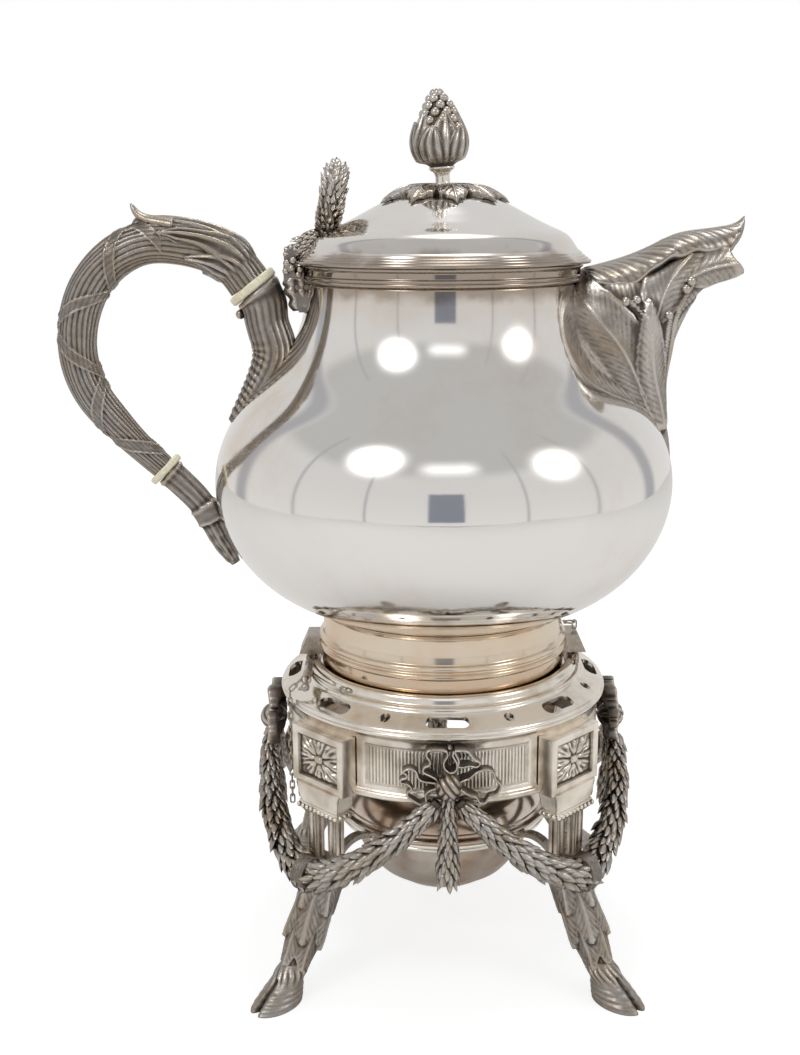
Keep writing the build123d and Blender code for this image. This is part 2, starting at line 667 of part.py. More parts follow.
def lid_shell():
    """Thin cone with a flat ledge under its rim, down to the bezel."""
    outer = lid_outline(0.0)
    floor = Z_LID + LID_WALL
    inner = [(r, z) for r, z in reversed(lid_outline(LID_WALL)) if z > floor]
    lip = MOUTH_BORE - BEZEL_CLEARANCE - BEZEL_WALL
    return spin(outer + inner + [(LID_RADIUS - LID_WALL, floor), (lip, floor), (lip, Z_LID)]) - stud_bore()


def lid_bezel():
    r = MOUTH_BORE - BEZEL_CLEARANCE
    inner, low = r - BEZEL_WALL, Z_LID - BEZEL_DEPTH
    return spin([(inner, low), (r, low), (r, Z_LID), (inner, Z_LID)])


def finial_leaves():
    """Skirt of pointed leaves on the lid's top."""
    lift, r = LEAF_THICKNESS, ROSETTE_RADIUS
    top = [(x, z + lift) for x, z in lid_outline(0.0) if x < r]
    edge_z = Z_LID + LID_TOP_RISE + lift - LEAF_EDGE_DROP
    disc = spin([(0, Z_LID), (r, Z_LID), (r, edge_z)] + top) - LID_SOLID
    half = 180.0 / LEAF_COUNT
    start, end, width = (share * r for share in LEAF_NOTCH)
    wedge = Polygon((start, 0), (end, width), (end, -width), align=None)
    notch = Pos(0, 0, Z_LID) * extrude(wedge, 2 * LID_HEIGHT)
    notches = turned(notch, [half + k * 360.0 / LEAF_COUNT for k in range(LEAF_COUNT)])
    return disc - notches - stud_bore()


Z_STEM = Z_LID_TOP + LEAF_THICKNESS
Z_BUD = Z_STEM + STEM_HEIGHT
Z_NUT = Z_LID_TOP - LID_WALL


def leaned(shape):
    """A finial piece, tipped towards the handle about the top of the stem's foot."""
    pivot = Z_STEM + STEM_RING_HEIGHT
    return Pos(0, 0, pivot) * Rot(0, -FINIAL_LEAN, 0) * Pos(0, 0, -pivot) * shape


def finial_stem():
    top, step = Z_BUD, STEM_RING - STEM_STEP
    foot = spin([(0, Z_STEM), (STEM_RING, Z_STEM), (STEM_RING, Z_STEM + STEM_RING_HEIGHT),
                 (0, Z_STEM + STEM_RING_HEIGHT)])
    stem = spin([(0, Z_STEM + STEM_STEP), (step, Z_STEM + STEM_RING_HEIGHT), (STEM_RADIUS, Z_STEM + STEM_FLARE),
                 (STEM_RADIUS, top - STEM_FLARE), (step, top - STEM_RING_HEIGHT), (step, top), (0, top)])
    stud = rod((0, 0, Z_NUT - NUT_HEIGHT), (0, 0, 1), STUD_RADIUS, Z_STEM - Z_NUT + NUT_HEIGHT)
    return foot + leaned(stem) + stud


def finial_nut():
    prism = Pos(0, 0, Z_NUT - NUT_HEIGHT) * extrude(RegularPolygon(NUT_RADIUS, 6), NUT_HEIGHT)
    return prism - rod((0, 0, Z_NUT - NUT_HEIGHT), (0, 0, 1), STUD_RADIUS, NUT_HEIGHT)


def finial_bud():
    foot = (STEM_RING - STEM_STEP, Z_BUD)
    side = [foot] + [(BUD_RADIUS * r, Z_BUD + BUD_HEIGHT * h) for r, h in BUD_SHAPE]
    curve = Plane.XZ * Spline(*side)
    rest = Plane.XZ * Polyline(side[-1], (0, side[-1][1]), (0, Z_BUD), foot)
    return leaned(revolve(make_face([curve, rest]), Axis.Z, 360))


def finial_berries():
    """Cone of berries rising out of the bud."""
    base = Z_BUD + BUD_HEIGHT - BERRY_BASE
    top_rise = BERRY_RINGS[-1][2]
    heap = Pos(0, 0, base + top_rise / 2) * Cone(*BERRY_CORE, top_rise)
    for ring_radius, count, rise in BERRY_RINGS:
        for k in range(count):
            a = 2 * math.pi * (k + rise / BERRY_TURN) / count
            place = Pos(ring_radius * math.cos(a), ring_radius * math.sin(a), base + rise)
            heap += place * Sphere(BERRY_RADIUS)
    return max((leaned(heap) - finial_bud()).solids(), key=lambda s: s.volume)


# ---------------------------------------------------------------- lid hinge
def hinge_bore():
    length = LID_KNUCKLE_LENGTH + 2 * (SIDE_KNUCKLE_LENGTH + KNUCKLE_GAP)
    return rod_y(X_HINGE, Z_HINGE, -length, length, HINGE_PIN_RADIUS + PIN_CLEARANCE)


def hinge_bracket():
    """Stepped corbel on the neck, carrying the two outer knuckles."""
    inner = LID_KNUCKLE_LENGTH / 2 + KNUCKLE_GAP
    outer = inner + SIDE_KNUCKLE_LENGTH
    top = Z_HINGE - KNUCKLE_RADIUS - KNUCKLE_GAP
    low = top - CORBEL_HEIGHT
    front = X_HINGE - KNUCKLE_RADIUS
    near, far = CORBEL_FOOT
    side = [(front, top), (front, top - CORBEL_LEDGE)]
    side += [(X_HINGE + out, top - drop) for out, drop in CORBEL_STEPS]
    side += [(X_HINGE + near, low), (X_HINGE + far, low), (X_HINGE + far, top)]
    shape = extrude(upright(side), outer, both=True)
    for s in (-1, 1):
        y0, y1 = sorted((s * inner, s * outer))
        shape += rod_y(X_HINGE, Z_HINGE, y0, y1, KNUCKLE_RADIUS)
        shape += block(X_HINGE - KNUCKLE_RADIUS, X_HINGE + KNUCKLE_RADIUS, y0, y1, top - KNUCKLE_GAP, Z_HINGE)
    collar = Pos(0, 0, Z_MOUTH) * extrude(Circle(COLLAR_RADIUS), COLLAR_HEIGHT)
    return shape - VESSEL - collar - hinge_bore()


def lid_hinge_pin():
    half = LID_KNUCKLE_LENGTH / 2 + KNUCKLE_GAP + SIDE_KNUCKLE_LENGTH
    thickness, lip = HINGE_PIN_HEAD
    near, far = half + KNUCKLE_GAP, half + KNUCKLE_GAP + thickness
    pin = rod_y(X_HINGE, Z_HINGE, -near, near, HINGE_PIN_RADIUS)
    for y in (-far, near):
        pin += rod_y(X_HINGE, Z_HINGE, y, y + thickness, HINGE_PIN_RADIUS + lip)
    return pin


def lid_hinge_leaf():
    half = LID_KNUCKLE_LENGTH / 2
    knuckle = rod_y(X_HINGE, Z_HINGE, -half, half, KNUCKLE_RADIUS)
    run, rise, radius = HINGE_SCROLL
    front, back = X_HINGE - KNUCKLE_RADIUS, -LID_RADIUS + HINGE_LAP
    web = block(front, back, -half, half, Z_LID + KNUCKLE_GAP, Z_LID + LID_EDGE)
    riser = block(X_HINGE - KNUCKLE_RADIUS, X_HINGE + KNUCKLE_RADIUS, -half, half, Z_HINGE, Z_LID + LID_EDGE)
    scroll = rod_y(X_HINGE + run, Z_LID + LID_EDGE + rise, -half, half, radius)
    return (knuckle + web + riser + scroll) - LID_SOLID - hinge_bore()


def thumbpiece():
    """Laurel wreath standing on the lid near its hinge."""
    centre = (-WREATH_SETBACK, 0, Z_LID + WREATH_RISE)
    lean = math.radians(WREATH_LEAN)
    plane = Plane(origin=centre, x_dir=(0, 1, 0), z_dir=(math.cos(lean), 0, -math.sin(lean)))
    ring = plane * Torus(WREATH_RADIUS, WREATH_THICKNESS / 2)
    return ring - LID_SOLID


# ---------------------------------------------------------------- lugs, ears and pins
def lug(side):
    """Box on the foot with a tongue under it; side is +1 at the spout, -1 at the handle."""
    low = Z_PIN + EAR_RADIUS + LUG_GAP
    outline = [(side * (FOOT_NECK_RADIUS - LUG_ROOT), low), (side * LUG_OUTER, low),
               (side * LUG_TOP_OUTER, low + LUG_HEIGHT), (side * (FOOT_NECK_RADIUS - LUG_ROOT), low + LUG_HEIGHT)]
    box = extrude(upright(outline), LUG_WIDTH / 2, both=True)
    x = side * PIN_RADIAL
    half = TONGUE_WIDTH / 2
    box += rod_y(x, Z_PIN, -half, half, EAR_RADIUS)
    box += block(x - EAR_RADIUS, x + EAR_RADIUS, -half, half, Z_PIN, low + LUG_GAP)
    return box - FOOT_SOLID - rod_y(x, Z_PIN, -LUG_WIDTH, LUG_WIDTH, PIN_RADIUS + PIN_CLEARANCE)


def ear_pocket(side):
    """Room cut in the stand's rim for the tongue, the lug and its swing, or for the lock pin's collar."""
    x0, x1 = sorted((side * (SEAT_WALL_RADIUS - LUG_ROOM), side * (RING_RADIUS + LUG_ROOM)))
    half = LUG_WIDTH / 2 + (LUG_ROOM if side > 0 else LOCK_ROOM)
    return block(x0, x1, -half, half, Z_PIN - EAR_RADIUS - EAR_FOOT, Z_RIM + EAR_FOOT)


def ears(side):
    """Pair of ears that carry a pin."""
    x = side * PIN_RADIAL
    low = Z_PIN - EAR_RADIUS - EAR_FOOT
    pair = []
    for s in (-1, 1):
        y0, y1 = sorted((s * EAR_INSIDE, s * EAR_OUTSIDE))
        ear = rod_y(x, Z_PIN, y0, y1, EAR_RADIUS) + block(x - EAR_RADIUS, x + EAR_RADIUS, y0, y1, low, Z_PIN)
        pair.append(ear - rod_y(x, Z_PIN, -LUG_WIDTH, LUG_WIDTH, PIN_RADIUS + PIN_CLEARANCE))
    return pair


def pivot_pin():
    """Pin through the ears, with a ball and eye in front and a flat head behind."""
    x, (ring, wire) = PIN_RADIAL, PIN_EYE
    front, back = -EAR_OUTSIDE - PIN_BALL - PIN_PLAY, EAR_OUTSIDE + PIN_PLAY
    pin = rod_y(x, Z_PIN, front, back, PIN_RADIUS) + Pos(x, front, Z_PIN) * Sphere(PIN_BALL)
    pin += Plane(origin=(x, front - PIN_BALL - ring + wire, Z_PIN), z_dir=(1, 0, 0)) * Torus(ring, wire)
    return pin + rod_y(x, Z_PIN, back, back + PIN_HEAD_THICKNESS, PIN_HEAD_RADIUS)


LOCK_X = -PIN_RADIAL
LOCK_TIP_Y = -EAR_OUTSIDE + LOCK_TIP
LOCK_COLLAR_Y = LOCK_TIP_Y - 2 * EAR_OUTSIDE
LOCK_HANDLE_Y = LOCK_COLLAR_Y - LOCK_COLLAR - LOCK_HANDLE_LENGTH
LOCK_KNOB_Y = LOCK_HANDLE_Y - LOCK_NECK_LENGTH


def lock_pin():
    """Drawn-back pin: shank, collar, baluster handle, thin neck and end knob, along Y."""
    r, base, span = LOCK_HANDLE_RADIUS, LOCK_HANDLE_Y, LOCK_HANDLE_LENGTH
    end, belly, waist, place = LOCK_BALUSTER
    top = base + span
    outline = [(0, LOCK_KNOB_Y), (LOCK_NECK_RADIUS, LOCK_KNOB_Y), (LOCK_NECK_RADIUS, base), (end * r, base),
               (r, base + belly * span), (waist * r, base + place * span), (end * r, top), (r, top),
               (r, top + LOCK_COLLAR), (PIN_RADIUS, top + LOCK_COLLAR), (PIN_RADIUS, LOCK_TIP_Y - LOCK_POINT),
               (PIN_RADIUS - LOCK_POINT, LOCK_TIP_Y), (0, LOCK_TIP_Y)]
    pin = revolve(make_face(Polyline(*outline, close=True)), Axis.Y, 360)
    pin += Pos(0, LOCK_KNOB_Y, 0) * Sphere(LOCK_KNOB_RADIUS)
    return Pos(LOCK_X, 0, Z_PIN) * pin


# ---------------------------------------------------------------- chains
def link_pitch():
    """Distance between the middles of two links pulled tight."""
    return 2 * (LINK_STRAIGHT + LINK_END) - 2 * LINK_WIRE - LINK_PLAY


def chain_run(start, way, flat, count):
    """Links in a row, every other one turned a quarter round the run's direction."""
    side = Vector(*way).cross(Vector(*flat))
    links = []
    for k in range(count):
        centre = Vector(*start) + Vector(*way) * (link_pitch() * k)
        links.append(link(centre, way, flat if k % 2 == 0 else side))
    return links


CHAIN_RING_Y = LOCK_HANDLE_Y - LOCK_NECK_RADIUS


def pin_chain():
    """Ring round the lock pin's neck, and the chain that falls from it past the drum."""
    (out, sag), (run, drop), (back, down) = CHAIN_RING_SAG, CHAIN_START, CHAIN_TURN
    origin = (LOCK_X - out, CHAIN_RING_Y, Z_PIN - sag)
    ring = Plane(origin=origin, z_dir=(0, 1, 0)) * Torus(CHAIN_RING_RADIUS, LINK_WIRE)
    edge = SHOULDER_RADIUS + CHAIN_RADIUS_CLEARANCE
    fall_x = -math.sqrt(edge ** 2 - CHAIN_RING_Y ** 2)
    start = Vector(LOCK_X - out - CHAIN_RING_RADIUS - run, CHAIN_RING_Y, Z_PIN - drop)
    end = Vector(fall_x, CHAIN_RING_Y, Z_SLOPE + CHAIN_RADIUS_CLEARANCE)
    way = (end - start).normalized()
    pitch = link_pitch()
    count = max(1, round((end - start).length / pitch))
    slope = chain_run(tuple(start), tuple(way), tuple(way.cross(Vector(0, 1, 0))), count)
    turn = start + way * (pitch * (count - back)) + Vector(0, 0, -down * pitch)
    fall_start = (turn.X, turn.Y, turn.Z)
    fall_flat = (1, 0, 0) if count % 2 == 0 else (0, 1, 0)
    return [ring] + slope + chain_run(fall_start, (0, 0, -1), fall_flat, CHAIN_FALL_LINKS)


def staple(radius, wire):
    """Half ring standing on two legs, opening down, in the local XZ plane."""
    arch = Plane.XZ * Torus(radius, wire)
    arch &= block(-2 * radius, 2 * radius, -radius, radius, 0, 2 * radius)
    for s in (-1, 1):
        arch += Pos(s * radius, 0, -radius) * extrude(Circle(wire), radius)
    return arch


def chain_staple():
    angle = math.radians(STAPLE_ANGLE)
    radius = RING_RADIUS - STAPLE_WIRE
    spot = Pos(radius * math.cos(angle), radius * math.sin(angle), Z_RING + STAPLE_RADIUS)
    solid = spot * Rot(0, 0, math.degrees(angle) + 90) * staple(STAPLE_RADIUS, STAPLE_WIRE)
    return solid - shoulder_solid()


X_EYE = FOOT_FLANGE_RADIUS + STAPLE_RADIUS
Z_EYE = Z_PIN + EAR_RADIUS + LUG_GAP + LUG_HEIGHT + EYE_RISE


def foot_eye():
    """Level eye on the foot above the spout-side lug."""
    ring = Pos(X_EYE, 0, Z_EYE) * Torus(STAPLE_RADIUS, EYE_WIRE)
    root = FOOT_NECK_RADIUS - FOOT_WALL
    stalk = rod((root, 0, Z_EYE), (1, 0, 0), EYE_STALK, X_EYE - STAPLE_RADIUS + EYE_WIRE - root)
    return ring + (stalk - FOOT_SOLID)


def keeper_link():
    """Link that hangs in the foot's eye."""
    hang = LINK_STRAIGHT + LINK_END - LINK_WIRE - EYE_WIRE - LINK_PLAY
    return link((X_EYE + STAPLE_RADIUS, 0, Z_EYE - hang), (0, 0, -1), (0, 1, 0))


# ---------------------------------------------------------------- stand shoulder and drum
def shoulder_outline():
    wall, bevel, (step_in, step_up) = SHOULDER_WALL, SHOULDER_BEVEL, RING_STEP
    edge = SHOULDER_RADIUS - 2 * wall
    return [(SHOULDER_RADIUS, Z_SHOULDER), (SHOULDER_RADIUS, Z_SLOPE - bevel), (SHOULDER_RADIUS - bevel, Z_SLOPE),
            (RING_RADIUS, Z_RING), (RING_RADIUS - step_in, Z_RING + step_up), (RIM_RADIUS + step_up, Z_RING + step_up),
            (RIM_RADIUS, Z_RIM - RIM_BEVEL[1]), (RIM_RADIUS - RIM_BEVEL[0], Z_RIM), (SEAT_WALL_RADIUS, Z_RIM),
            (SEAT_WALL_RADIUS, Z_SEAT), (SEAT_BORE, Z_SEAT), (SEAT_BORE, Z_SEAT - wall), (RING_RADIUS, Z_RING - wall),
            (edge, Z_SLOPE - wall), (edge, Z_SHOULDER)]


def shoulder_solid():
    return spin(shoulder_outline())


def stand_shoulder():
    """Pierced shoulder with the stepped ring and the kettle's seat."""
    face = SlotOverall(VENT_LENGTH, VENT_WIDTH, rotation=90)
    slot = Pos(VENT_RADIUS, 0, Z_SHOULDER) * extrude(face, 2 * RIM_RISE)
    hole = Pos(VENT_RADIUS, 0, Z_SHOULDER) * extrude(Circle(VENT_HOLE / 2), 2 * RIM_RISE)
    step = 360.0 / VENT_COUNT
    slots = turned(slot, [k * step for k in range(VENT_COUNT)])
    holes = turned(hole, [(k + 0.5) * step for k in range(VENT_COUNT)])
    return shoulder_solid() - slots - holes - ear_pocket(1) - ear_pocket(-1)


def drum_solid():
    lip, r = DRUM_RADIUS + DRUM_LIP, DRUM_RADIUS
    return spin([(r - DRUM_WALL, Z_DRUM), (lip, Z_DRUM), (lip, Z_DRUM + DRUM_LIP_HEIGHT - DRUM_BEVEL),
                 (r, Z_DRUM + DRUM_LIP_HEIGHT), (r, Z_SHOULDER - DRUM_LIP_HEIGHT), (lip, Z_SHOULDER),
                 (r - DRUM_WALL, Z_SHOULDER)])


DRUM_SOLID = drum_solid()
DRUM_CORE = Pos(0, 0, Z_DRUM - DRUM_LIP) * extrude(Circle(DRUM_RADIUS), DRUM_HEIGHT + 2 * DRUM_LIP)


def corner_plaques():
    low = Z_DRUM + PLAQUE_LIFT
    half = PLAQUE_WIDTH / 2
    block_solid = block(DRUM_RADIUS - PLAQUE_ROOT, PLAQUE_FACE, -half, half, low, low + PLAQUE_HEIGHT)
    frame = PLAQUE_FRAME
    pocket = block(PLAQUE_FACE - PLAQUE_POCKET, PLAQUE_FACE + PLAQUE_POCKET, -half + frame, half - frame,
                   low + frame, low + PLAQUE_HEIGHT - frame)
    return turned(block_solid - pocket - DRUM_SOLID - DRUM_CORE, CORNERS)


def plaque_rosettes():
    """Eight-lobed flower in each plaque's pocket."""
    middle = Z_DRUM + PLAQUE_LIFT + PLAQUE_HEIGHT / 2
    size = (PLAQUE_HEIGHT - 2 * PLAQUE_FRAME) / 2 - ROSETTE_GAP
    corners = []
    for k in range(2 * ROSETTE_LOBES):
        a = math.pi * k / ROSETTE_LOBES
        r = size if k % 2 == 0 else ROSETTE_DIP * size
        corners.append((r * math.cos(a), r * math.sin(a)))
    plane = Plane(origin=(PLAQUE_FACE - PLAQUE_POCKET, 0, middle), x_dir=(0, 1, 0), z_dir=(1, 0, 0))
    flower = extrude(plane * Polygon(*corners, align=None), ROSETTE_THICKNESS)
    return turned(flower, CORNERS)


# ---------------------------------------------------------------- legs
def capital_outline():
    """Side widths of the capital, as (half width, half depth, z)."""
    half, depth = ABACUS_WIDTH / 2, CAPITAL_DEPTH / 2
    top = CAPITAL_WIDTH / 2
    narrow, thin, bevel = ABACUS_BEVEL
    return [(half - narrow, depth - thin, Z_CAPITAL), (half, depth, Z_CAPITAL + bevel),
            (half, depth, Z_CAPITAL + ABACUS_HEIGHT), (top, depth + CAPITAL_SPREAD, Z_DRUM)]


def leg_capitals():
    layers = capital_outline()
    shape = None
    for (w0, d0, z0), (w1, d1, z1) in zip(layers, layers[1:]):
        faces = [Pos(KNEE_RADIUS, 0, z) * Rectangle(2 * d, 2 * w) for w, d, z in ((w0, d0, z0), (w1, d1, z1))]
        piece = loft(faces)
        shape = piece if shape is None else shape + piece
    return turned(shape, CORNERS)


def leg_posts():
    posts = []
    half = POST_SIDE / 2
    for s in (-1, 1):
        y = s * POST_SPACING / 2
        posts.append(block(KNEE_RADIUS - half, KNEE_RADIUS + half, y - half, y + half, Z_POST, Z_CAPITAL))
    return [p for post in posts for p in turned(post, CORNERS)]


def leg_line():
    """Leg stations from the pastern up to the knee, as (radius, z, width)."""
    rise, run = LEG_HEIGHT - HOOF_HEIGHT, PASTERN_RADIUS - KNEE_RADIUS
    width, grow = PASTERN_WIDTH, LEG_TOP_WIDTH - PASTERN_WIDTH
    return [(PASTERN_RADIUS - inward * run, HOOF_HEIGHT + up * rise, width + w * grow)
            for inward, up, w in LEG_SHAPE]


def one_leg():
    line = leg_line()
    faces = []
    for k, (r, z, width) in enumerate(line):
        tilt = way_at(line, k) if 0 < k < len(line) - 1 else (0.0, 1.0)
        plane = Plane(origin=(r, 0, z), x_dir=(0, 1, 0), z_dir=(tilt[0], 0, tilt[1]))
        faces.append(plane * Ellipse(width / 2, width * LEG_THICKNESS_SHARE / 2))
    bar = loft(faces)
    half = KNEE_WIDTH / 2
    knee = block(KNEE_RADIUS - KNEE_DEPTH / 2, KNEE_RADIUS + KNEE_DEPTH / 2, -half, half, Z_KNEE, Z_POST)
    return bar + knee


LEG_SOLID = one_leg()


def legs():
    return turned(LEG_SOLID, CORNERS)


def hooves():
    setback, share, shorter, narrower = HOOF_WALL
    long, wide = HOOF_LENGTH / 2, HOOF_WIDTH / 2
    sole = Pos(HOOF_RADIUS, 0, 0) * Ellipse(long, wide)
    wall = Pos(HOOF_RADIUS - setback, 0, HOOF_HEIGHT * share) * Ellipse(long - shorter, wide - narrower)
    crown = Pos(PASTERN_RADIUS, 0, HOOF_HEIGHT) * Ellipse(*(PASTERN_WIDTH * part for part in HOOF_CROWN))
    hoof = loft([sole, wall, crown])
    toe = HOOF_RADIUS + 2 * long
    top = HOOF_HEIGHT * HOOF_CLEFT_SHARE
    cleft = block(HOOF_RADIUS, toe, -HOOF_CLEFT / 2, HOOF_CLEFT / 2, -HOOF_CLEFT, top)
    return turned(hoof - cleft, CORNERS)


# ---------------------------------------------------------------- bows, pendants and garlands
Z_KNOT = Z_DRUM + BOW_LIFT


def ribbon_bows():
    """Knot with two loops and two ribbon ends, against the drum."""
    half, lift = BOW_WIDTH / 2, BOW_HEIGHT / 2
    side = [(half * across, lift * up) for across, up in BOW_SHAPE]
    outline = side + [(-y, z) for y, z in reversed(side[1:-1])]
    plane = Plane(origin=(DRUM_RADIUS - BOW_ROOT, 0, Z_KNOT + BOW_SHIFT), x_dir=(0, 1, 0), z_dir=(1, 0, 0))
    depth = BOW_ROOT + BOW_RADIUS - DRUM_RADIUS + BOW_THICKNESS / 2
    ribbon = extrude(plane * Polygon(*outline, align=None), depth)
    knot = Pos(BOW_RADIUS + KNOT_OUT, 0, Z_KNOT) * Sphere(KNOT_RADIUS)
    bow = (ribbon + knot) - DRUM_SOLID - DRUM_CORE - shoulder_guard()
    return turned(bow, QUARTERS)


def shoulder_guard():
    """Room kept for the shoulder above the drum."""
    return Pos(0, 0, Z_SHOULDER) * extrude(Circle(SHOULDER_RADIUS), SHOULDER_EDGE + RIM_RISE)


def pendant_drops():
    top = Z_KNOT - KNOT_RADIUS + PENDANT_LAP
    low = top - PENDANT_LENGTH
    r = PENDANT_WIDTH / 2
    side = [(share * r, low + rise) for share, rise in PENDANT_SHAPE]
    outline = [(0, low)] + side + [(PENDANT_NECK * r, top), (0, top)]
    drop = Pos(BOW_RADIUS + KNOT_OUT, 0, 0) * spin(outline)
    knot = Pos(BOW_RADIUS + KNOT_OUT, 0, Z_KNOT) * Sphere(KNOT_RADIUS)
    return turned(drop - knot - DRUM_SOLID, QUARTERS)


def garland_line():
    """Centre line of one swag from knot to knot, as (angle, radius, z, thickness)."""
    stations = []
    outer, inner = KNEE_RADIUS + GARLAND_OUTSET, BOW_RADIUS + KNOT_OUT
    for k in range(GARLAND_STEPS + 1):
        t = (1 - GARLAND_START) * (2 * k / GARLAND_STEPS - 1)
        angle = math.radians(CORNERS[0] * (1 + t))
        z = Z_KNOT - GARLAND_HANG - GARLAND_DROP * (1 - abs(t) ** GARLAND_FALL)
        thick = GARLAND_THICK - (GARLAND_THICK - GARLAND_THIN) * abs(t) ** GARLAND_SWELL
        stations.append((angle, outer + (inner - outer) * t * t, z, thick))
    return stations


def swag_solid():
    stations = garland_line()
    points = [Vector(r * math.cos(a), r * math.sin(a), z) for a, r, z, _ in stations]
    faces = []
    for k, point in enumerate(points):
        way = points[min(k + 1, len(points) - 1)] - points[max(k - 1, 0)]
        faces.append(Plane(origin=point, z_dir=way) * Circle(stations[k][3]))
    return loft(faces)


SWAG = swag_solid()
KNOTS = [Rot(0, 0, a) * (Pos(BOW_RADIUS + KNOT_OUT, 0, Z_KNOT) * Sphere(KNOT_RADIUS)) for a in QUARTERS[:2]]
CORNER_LEG = Rot(0, 0, CORNERS[0]) * LEG_SOLID


def tie_band():
    """Short sleeve round the swag where it crosses a leg."""
    stations = garland_line()
    _, radius, z, thick = stations[len(stations) // 2]
    plane = Plane(origin=(radius, 0, z), z_dir=(0, 1, 0))
    return Rot(0, 0, CORNERS[0]) * extrude(plane * Circle(thick + TIE_WALL), TIE_WIDTH / 2, both=True)


def corner_posts():
    """Room kept for the two posts of the leg at 45 degrees."""
    half = (POST_SPACING + POST_SIDE) / 2
    room = block(KNEE_RADIUS - POST_SIDE, KNEE_RADIUS + POST_SIDE / 2, -half, half, Z_POST, Z_CAPITAL)
    return Rot(0, 0, CORNERS[0]) * room


def garland(angle):
    body = SWAG - CORNER_LEG - corner_posts() - KNOTS - DRUM_SOLID - DRUM_CORE
    return Rot(0, 0, angle) * max(body.solids(), key=lambda s: s.volume)


def garland_ties():
    return turned(tie_band() - SWAG - CORNER_LEG - corner_posts(), QUARTERS)


# ---------------------------------------------------------------- lamp and its ring
def lamp_ring():
    r, w, z, bevel = LAMP_RING_RADIUS, LAMP_RING_WIDTH, Z_LAMP_RING, LAMP_RING_BEVEL
    top = z + LAMP_RING_HEIGHT
    return spin([(r - w, z), (r - bevel, z), (r, z + bevel), (r, top), (r - w, top)])


def lamp_brackets():
    """Curved arms from the legs' knees to the lamp ring."""
    x0, z0 = KNEE_RADIUS - KNEE_DEPTH / 2 + BRACKET_LAP, Z_KNEE - BRACKET_DROP
    x1, z1 = LAMP_RING_RADIUS - LAMP_RING_BEVEL, Z_LAMP_RING + LAMP_RING_HEIGHT / 2
    half = BRACKET_THICKNESS / 2
    middle = ((x0 + x1) / 2, Z_LAMP_RING + BRACKET_ARCH)
    upper = Plane.XZ * ThreePointArc((x0, z0 + half), (middle[0], middle[1] + half), (x1, z1 + half))
    lower = Plane.XZ * ThreePointArc((x0, z0 - half), (middle[0], middle[1] - half), (x1, z1 - half))
    ends = Plane.XZ * (Line((x0, z0 + half), (x0, z0 - half)) + Line((x1, z1 + half), (x1, z1 - half)))
    arm = extrude(make_face([upper, lower, ends]), BRACKET_WIDTH / 2, both=True)
    return turned(arm - LEG_SOLID - lamp_ring() - lamp_room(), CORNERS)


def lamp_room():
    """Room kept for the lamp's flange and its seat on the ring."""
    return Pos(0, 0, Z_LAMP - LAMP_REST_GAP) * extrude(Circle(LAMP_FLANGE_RADIUS + LAMP_ROOM), LAMP_DOME_HEIGHT)


def bowl_points(inset):
    """Quarter of the lamp's bowl, from its rim to its bottom, as (radius, z)."""
    steps = LAMP_STEPS
    r, h = LAMP_BOWL_RADIUS - inset, LAMP_DEPTH - inset
    return [(r * math.cos(math.pi / 2 * k / steps), Z_LAMP - h * math.sin(math.pi / 2 * k / steps))
            for k in range(steps + 1)]


def lathe_shell(outer, inner):
    """Shell between two smooth outlines, joined straight across at both ends."""
    ends = [Plane.XZ * Line(inner[k], outer[k]) for k in (0, -1)]
    return revolve(make_face([Plane.XZ * Spline(*outer), Plane.XZ * Spline(*inner)] + ends), Axis.Z, 360)


def lamp_bowl():
    shell = lathe_shell(bowl_points(0.0), bowl_points(LAMP_WALL))
    inner, top = LAMP_BOWL_RADIUS - LAMP_WALL, Z_LAMP + LAMP_FLANGE_HEIGHT
    return shell + spin([(inner, Z_LAMP), (LAMP_FLANGE_RADIUS, Z_LAMP), (LAMP_FLANGE_RADIUS, top), (inner, top)])


def dome_points(inset):
    """Lamp cover's outline, from the flange up to the burner's hole."""
    r, h = LAMP_DOME_RADIUS - inset, LAMP_DOME_HEIGHT - inset
    base = Z_LAMP + LAMP_FLANGE_HEIGHT
    end = math.acos(BURNER_RADIUS / r)
    steps = LAMP_STEPS
    return [(r * math.cos(end * k / steps), base + h * math.sin(end * k / steps)) for k in range(steps + 1)]


def lamp_cover():
    outer, inner = dome_points(0.0), dome_points(LAMP_WALL)
    return lathe_shell(outer, inner)


Z_BURNER = dome_points(LAMP_WALL)[-1][1]


def burner_collar():
    r, tube, z = BURNER_RADIUS, WICK_RADIUS + WICK_TUBE_WALL, Z_BURNER
    under, ledge = BURNER_STEP
    taper = [(r - narrow, z + rise) for narrow, rise in BURNER_TAPER]
    return spin([(tube, z - under), (r, z - under), (r, z + ledge)] + taper + [(tube, taper[-1][1])])


def wick_tube():
    low, top = Z_BURNER - WICK_TUBE_DEPTH, Z_BURNER + WICK_TUBE_RISE
    outer = WICK_RADIUS + WICK_TUBE_WALL
    return spin([(WICK_RADIUS, low), (outer, low), (outer, top), (WICK_RADIUS, top)])


def wick():
    low = Z_LAMP - LAMP_DEPTH + LAMP_WALL + WICK_END_GAP
    top = Z_BURNER + WICK_TUBE_RISE + WICK_RISE
    return rod((0, 0, low), (0, 0, 1), WICK_RADIUS - WICK_CLEARANCE, top - low)


